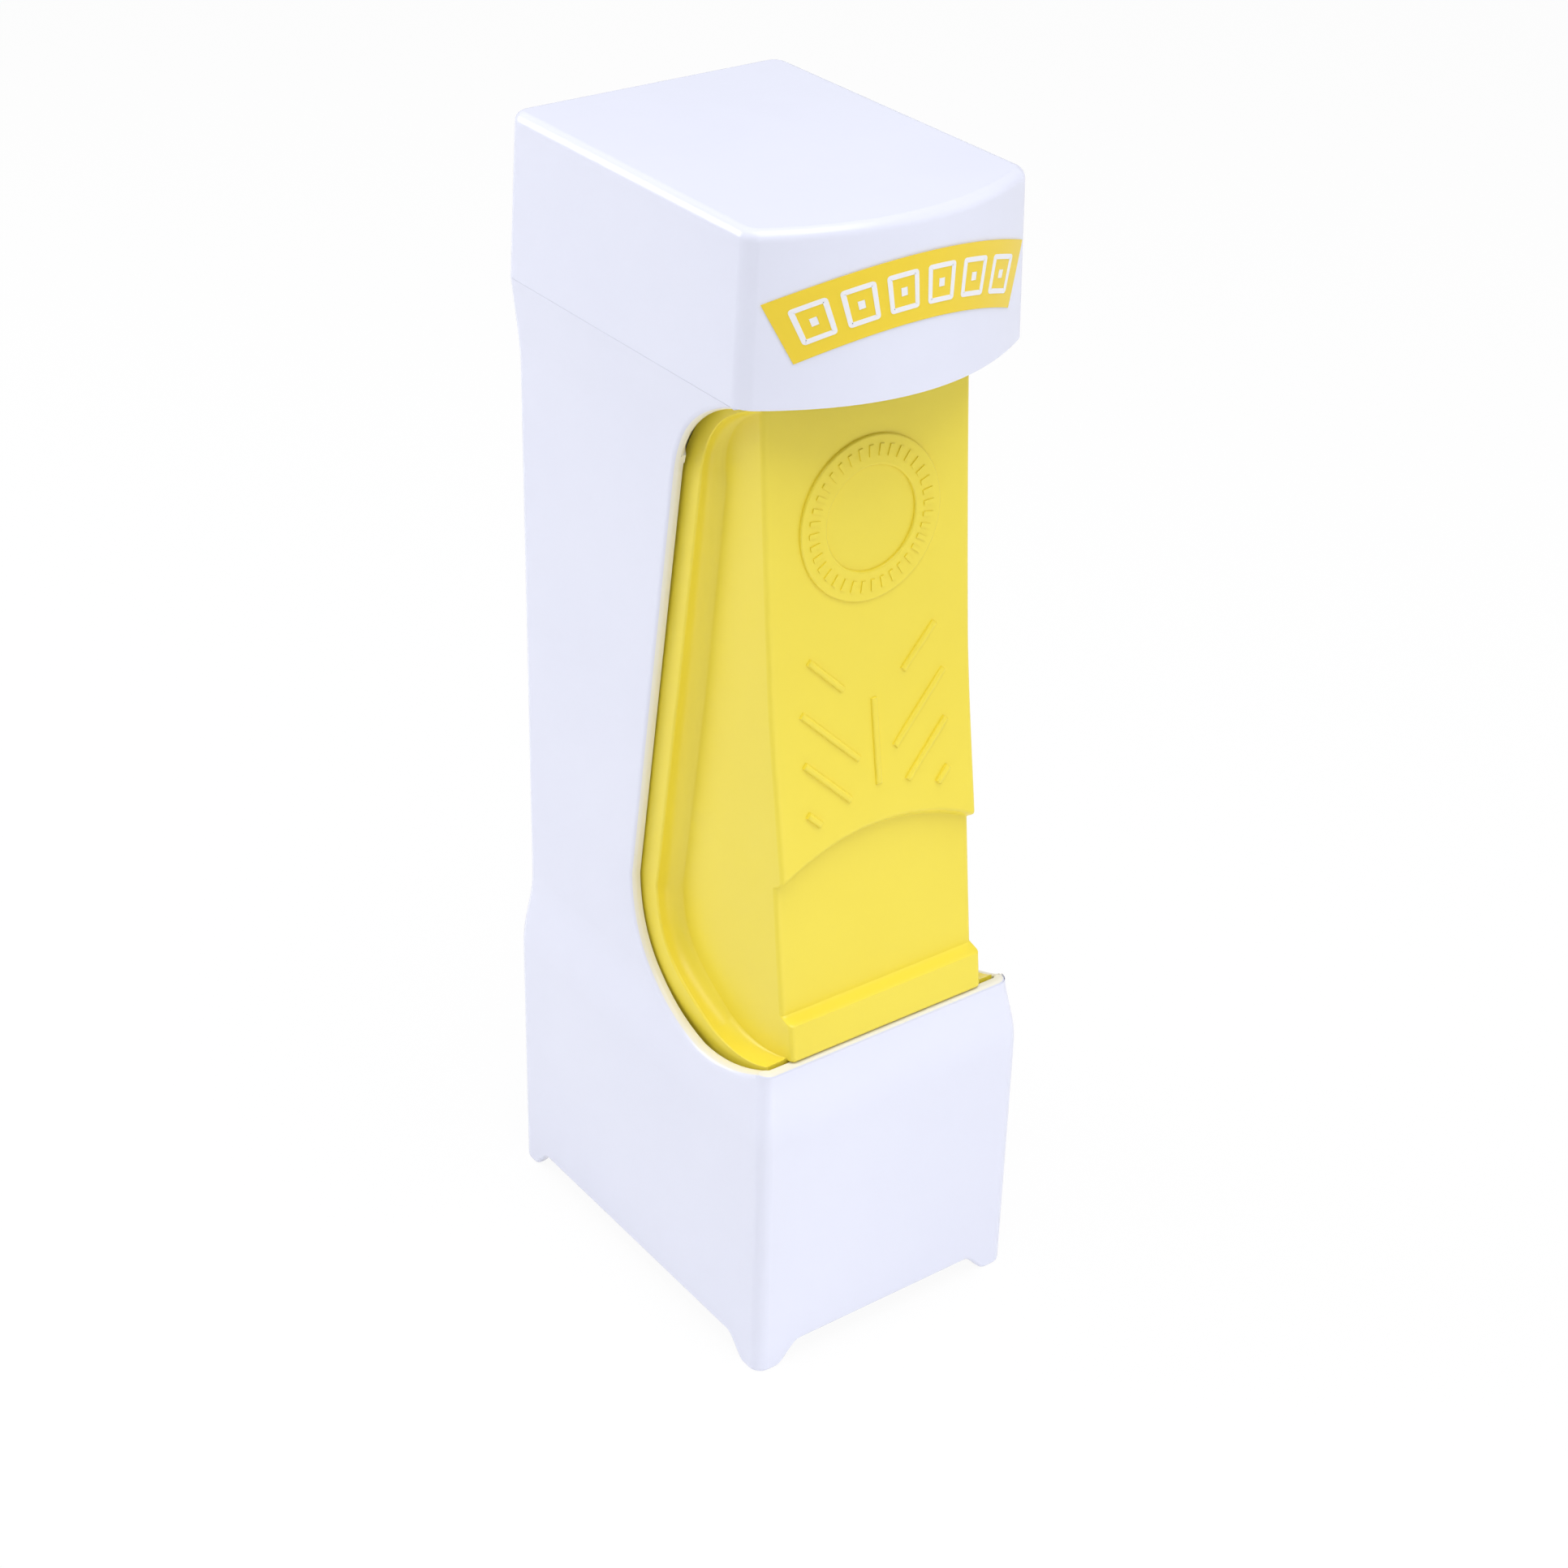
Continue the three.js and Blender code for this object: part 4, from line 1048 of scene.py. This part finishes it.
def ray(bm, x, z, length, turn):
    s = relief
    size = (length, s["raise"] + s["sunk"], s["rayWidth"])
    made = addBox(bm, size, (0, (s["sunk"] - s["raise"]) / 2, 0))
    rim = {edge for vert in made for edge in vert.link_edges if all(v.co.y < 0 for v in edge.verts)}
    rounded = bmesh.ops.bevel(bm, geom=list(rim), offset=s["round"], offset_type="OFFSET",
                              affect="EDGES", segments=s["roundSteps"], profile=0.5, material=-1)
    made = [v for v in made if v.is_valid] + rounded["verts"]
    ontoFace(bm, list(set(made)), x, z, turn)


# a short bar on the ring's band, lengthways to the middle
def bead(bm, radius, turn):
    s = relief
    made = addBox(bm, (s["beadLength"], s["beadRaise"] * 2, s["beadWidth"]), (radius, -s["raise"], 0))
    spin = Matrix.Rotation(turn, 3, "Y")
    bmesh.ops.rotate(bm, cent=(0, 0, 0), matrix=spin, verts=made)


def reliefBlank():
    s = relief
    bm = bmesh.new()
    innerRadius = s["ringRadius"] - s["ringWidth"]
    corners = [(innerRadius, -s["raise"]), (s["ringRadius"], -s["raise"]),
               (s["ringRadius"], s["sunk"]), (innerRadius, s["sunk"])]
    section = bm.faces.new([bm.verts.new((x, y, 0)) for x, y in corners])
    raised = [v for v in section.verts if v.co.y < 0]
    bevelCorners(bm, raised, s["ringRound"], s["ringRoundSteps"])
    bmesh.ops.delete(bm, geom=bm.faces[:], context="FACES_ONLY")
    bmesh.ops.spin(bm, geom=bm.verts[:] + bm.edges[:], cent=(0, 0, 0), axis=(0, 1, 0),
                   dvec=(0, 0, 0), angle=2 * math.pi, steps=s["ringSteps"], use_merge=True)
    middle = (innerRadius + s["ringRadius"]) / 2
    for i in range(s["beads"]):
        bead(bm, middle, 2 * math.pi * i / s["beads"])
    ontoFace(bm, bm.verts[:], 0, s["ringHeight"])
    for side in (-1, 1):
        for i, (lengthShare, spreadShare) in enumerate(zip(s["lengthShares"], s["spreadShares"])):
            length = s["rayLength"] * lengthShare
            reach = length * math.sqrt(0.5) / 2
            x = side * (s["raySpread"] * spreadShare - reach)
            z = s["rayTop"] - s["rayPitch"] * i - reach
            ray(bm, x, z, length, -side * math.radians(45))
    ray(bm, 0, s["centreFoot"] + s["rayLength"] / 2, s["rayLength"], math.radians(90))
    bmesh.ops.recalc_face_normals(bm, faces=bm.faces)
    return newObject(bm, "relief", [leverPlastic])


# what is cut out behind the face, between the cheeks
def insideBlank():
    s = lever
    rows = [s["insideFoot"] + s["insidePitch"] * i for i in range(s["insideRows"])]
    outline = [(faceAt(z) + s["wall"] + deepestSink(z), z) for z in rows]
    outline += [(s["reach"], rows[-1]), (s["reach"], rows[0])]
    inner = s["half"] - s["wall"]
    return newObject(prism(outline, -inner, inner), "inside", [leverPlastic])


def makeLever():
    s = lever
    obj = leverBlank()
    kept = prism(leverProfile(), -s["reach"], s["reach"])
    carve(obj, newObject(kept, "profile", [leverPlastic]), "INTERSECT")
    carve(obj, insideBlank())
    bore = bmesh.new()
    addRod(bore, s["bore"], s["boreLength"], (0, *s["pivot"]), "Y", s["boreSteps"])
    carve(obj, newObject(bore, "bore", [leverPlastic]))
    for blank in (brimBlank(), tailBlank(), forkBlank(), reliefBlank()):
        carve(obj, blank, "UNION")
    return seat(obj, "lever", ["lever_shell"])


makeLever()
print("lever made")


# the torsion spring: its first leg bears on the lever's wall, its last one on the chamber
spring = {
    "wire": 0.9,
    "coilRadius": 2.5,
    "turns": 6.5,
    "turnSteps": 24,
    "roundness": 3,
    "sharpFrom": 40,
    "pitch": 1.45,
    "legDrop": 20.0,
    "standoff": 0.75,       # from a wall to the middle of the wire
    "chamberFront": -0.1,
    "bendStart": 3.2,       # a stretch of the first leg, from here to here out from the axle; the path runs that leg straight
    "bendEnd": 8.0,
}


def springPath():
    s = spring
    place, height = lever["pivot"]
    halfCoil = s["turns"] * s["pitch"] / 2
    foot = height - s["legDrop"]
    points = [(-halfCoil, faceAt(foot) + lever["wall"] + s["standoff"], foot)]
    count = int(s["turns"] * s["turnSteps"])
    for i in range(count + 1):
        angle = math.pi + 2 * math.pi * i / s["turnSteps"]
        points.append((halfCoil * (2 * i / count - 1), place + s["coilRadius"] * math.cos(angle),
                       height - s["coilRadius"] * math.sin(angle)))
    return [*points, (halfCoil, s["chamberFront"] - s["standoff"], foot)]


def makeSpring():
    s = spring
    path = springPath()
    curve = bpy.data.curves.new("spring_wire", "CURVE")
    curve.dimensions = "3D"
    curve.bevel_depth = s["wire"] / 2
    curve.bevel_resolution = s["roundness"]
    curve.use_fill_caps = True
    line = curve.splines.new("POLY")
    line.points.add(len(path) - 1)
    for point, place in zip(line.points, path):
        point.co = (*place, 1)
    drawn = bpy.data.objects.new("spring drawn", curve)
    bpy.context.scene.collection.objects.link(drawn)
    graph = bpy.context.evaluated_depsgraph_get()
    bm = bmesh.new()
    bm.from_mesh(drawn.evaluated_get(graph).to_mesh())
    bpy.data.objects.remove(drawn)
    bpy.data.curves.remove(curve)
    bmesh.ops.remove_doubles(bm, verts=bm.verts, dist=weld)
    bmesh.ops.recalc_face_normals(bm, faces=bm.faces)
    obj = newObject(bm, "spring_coil", [plainSteel])
    shade(obj, s["sharpFrom"])
    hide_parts("return_spring")
    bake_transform(obj)


makeSpring()
print("spring made")


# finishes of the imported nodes, by how their names start, with steel for all others
nodeFinish = {
    "neck_collar": whitePlastic,
    "butter_chamber": innerPlastic,
    "cutter_carriage": nylon,
    "cutter_blade": bladeSteel,
    "butter_follower": leverPlastic,
    "lever_bush": nylon,
    "guide_rail": nylon,
    "body_casing": whitePlastic,
    "lid_cap": whitePlastic,
    "lid_band": printYellow,
    "lever_shell": leverPlastic,
}
for nodeName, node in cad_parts.items():
    chosen = [material for start, material in nodeFinish.items() if nodeName.startswith(start)]
    node.data.materials.clear()
    node.data.materials.append(chosen[0] if chosen else plainSteel)
print("node finishes set")


# camera, at the photograph's viewing angle
view = {
    "azimuth": -36.89,
    "elevation": 30.90,
    "roll": 1.575,
    "distance": 505.06,
    "focal": 3699.9,        # pixels of the photograph
    "right": 2.48,
    "up": -9.16,
    "middle": 101.5,
    "frameHalf": 966.0,     # half the photograph's width, in pixels
    "sensor": 36.0,
    "clipStart": 0.01,      # metres
}


def makeCamera():
    v = view
    azimuth, elevation, roll = (math.radians(v[key]) for key in ("azimuth", "elevation", "roll"))
    level, height = math.cos(elevation), math.sin(elevation)
    back = Vector((math.sin(azimuth) * level, -math.cos(azimuth) * level, height))
    right = Vector((math.cos(azimuth), math.sin(azimuth), 0))
    up = back.cross(right)
    right, up = (math.cos(roll) * right + math.sin(roll) * up,
                 math.cos(roll) * up - math.sin(roll) * right)
    place = Vector((0, 0, v["middle"])) + v["right"] * right + v["up"] * up + v["distance"] * back
    camera = bpy.data.objects.new("camera", bpy.data.cameras.new("camera"))
    bpy.context.scene.collection.objects.link(camera)
    camera.data.sensor_width = v["sensor"]
    camera.data.lens = v["sensor"] / 2 * v["focal"] / v["frameHalf"]
    camera.data.clip_start = v["clipStart"]
    turn = Matrix((right, up, back)).transposed().to_4x4()
    camera.matrix_world = Matrix.Translation(place * mm) @ turn
    bpy.context.scene.camera = camera


# floor and light
studio = {
    "world": 0.37,
    "floorSize": 4,
    "floorColour": (0.94, 0.94, 0.95),
    "floorRoughness": 0.9,
    "floorSpecular": 0.1,
    "floorGlow": 0.94,      # how much of the floor's look is plain white
    "lamps": (              # name, power, size, place and what it faces
        ("top", 9.0, 0.9, (-0.05, -0.33, 1.15), (0, 0, 0.1)),
        ("key", 0.45, 0.5, (-0.25, -0.6, 0.6), (0, 0, 0.1)),
        ("fill", 0.7, 0.6, (0.6, -0.4, 0.35), (0, 0, 0.1)),
        ("rim", 2.2, 0.4, (-0.45, 0.5, 0.4), (0, 0, 0.1)),
        ("low", 0.048, 0.12, (0, -0.2, 0.02), (0, 0, 0.03)),
    ),
}


def softLamp(name, power, size, place, target):
    lamp = bpy.data.objects.new(name, bpy.data.lights.new(name, "AREA"))
    bpy.context.scene.collection.objects.link(lamp)
    lamp.data.energy = power
    lamp.data.size = size
    lamp.visible_camera = False
    lamp.location = place
    turn = (Vector(target) - Vector(place)).to_track_quat("-Z", "Y")
    lamp.rotation_euler = turn.to_euler()


# a floor that looks nearly white straight on and in reflections, and still takes shadows
def makeFloor():
    bm = bmesh.new()
    bmesh.ops.create_grid(bm, x_segments=1, y_segments=1, size=studio["floorSize"])
    floor = newObject(bm, "floor")
    material, tree, shader = blankMaterial("pale floor")[:3]
    shader.inputs["Base Color"].default_value = (*studio["floorColour"], 1)
    shader.inputs["Roughness"].default_value = studio["floorRoughness"]
    shader.inputs["Specular IOR Level"].default_value = studio["floorSpecular"]
    glow = tree.nodes.new("ShaderNodeEmission")
    glow.inputs["Strength"].default_value = 1
    path = tree.nodes.new("ShaderNodeLightPath")
    seen = tree.nodes.new("ShaderNodeMath")
    seen.operation = "MAXIMUM"
    tree.links.new(path.outputs["Is Camera Ray"], seen.inputs[0])
    tree.links.new(path.outputs["Is Glossy Ray"], seen.inputs[1])
    part = tree.nodes.new("ShaderNodeMath")
    part.operation = "MULTIPLY"
    part.inputs[1].default_value = studio["floorGlow"]
    tree.links.new(seen.outputs[0], part.inputs[0])
    mix = tree.nodes.new("ShaderNodeMixShader")
    tree.links.new(part.outputs[0], mix.inputs[0])
    tree.links.new(shader.outputs[0], mix.inputs[1])
    tree.links.new(glow.outputs[0], mix.inputs[2])
    tree.links.new(mix.outputs[0], tree.nodes["Material Output"].inputs["Surface"])
    floor.data.materials.append(material)


# white to the camera, and dimmer where it lights the object
def makeWorld():
    world = bpy.data.worlds.new("studio")
    world.use_nodes = True
    bpy.context.scene.world = world
    tree = world.node_tree
    light = tree.nodes["Background"]
    light.inputs["Color"].default_value = (1, 1, 1, 1)
    path = tree.nodes.new("ShaderNodeLightPath")
    glow = tree.nodes.new("ShaderNodeMapRange")
    glow.inputs["To Min"].default_value = studio["world"]
    glow.inputs["To Max"].default_value = 1
    tree.links.new(path.outputs["Is Camera Ray"], glow.inputs["Value"])
    tree.links.new(glow.outputs["Result"], light.inputs["Strength"])


def makeStudio():
    makeFloor()
    makeWorld()
    for lamp in studio["lamps"]:
        softLamp(*lamp)
    bpy.context.scene.view_settings.view_transform = "Standard"


makeCamera()
makeStudio()
print("camera and studio made")
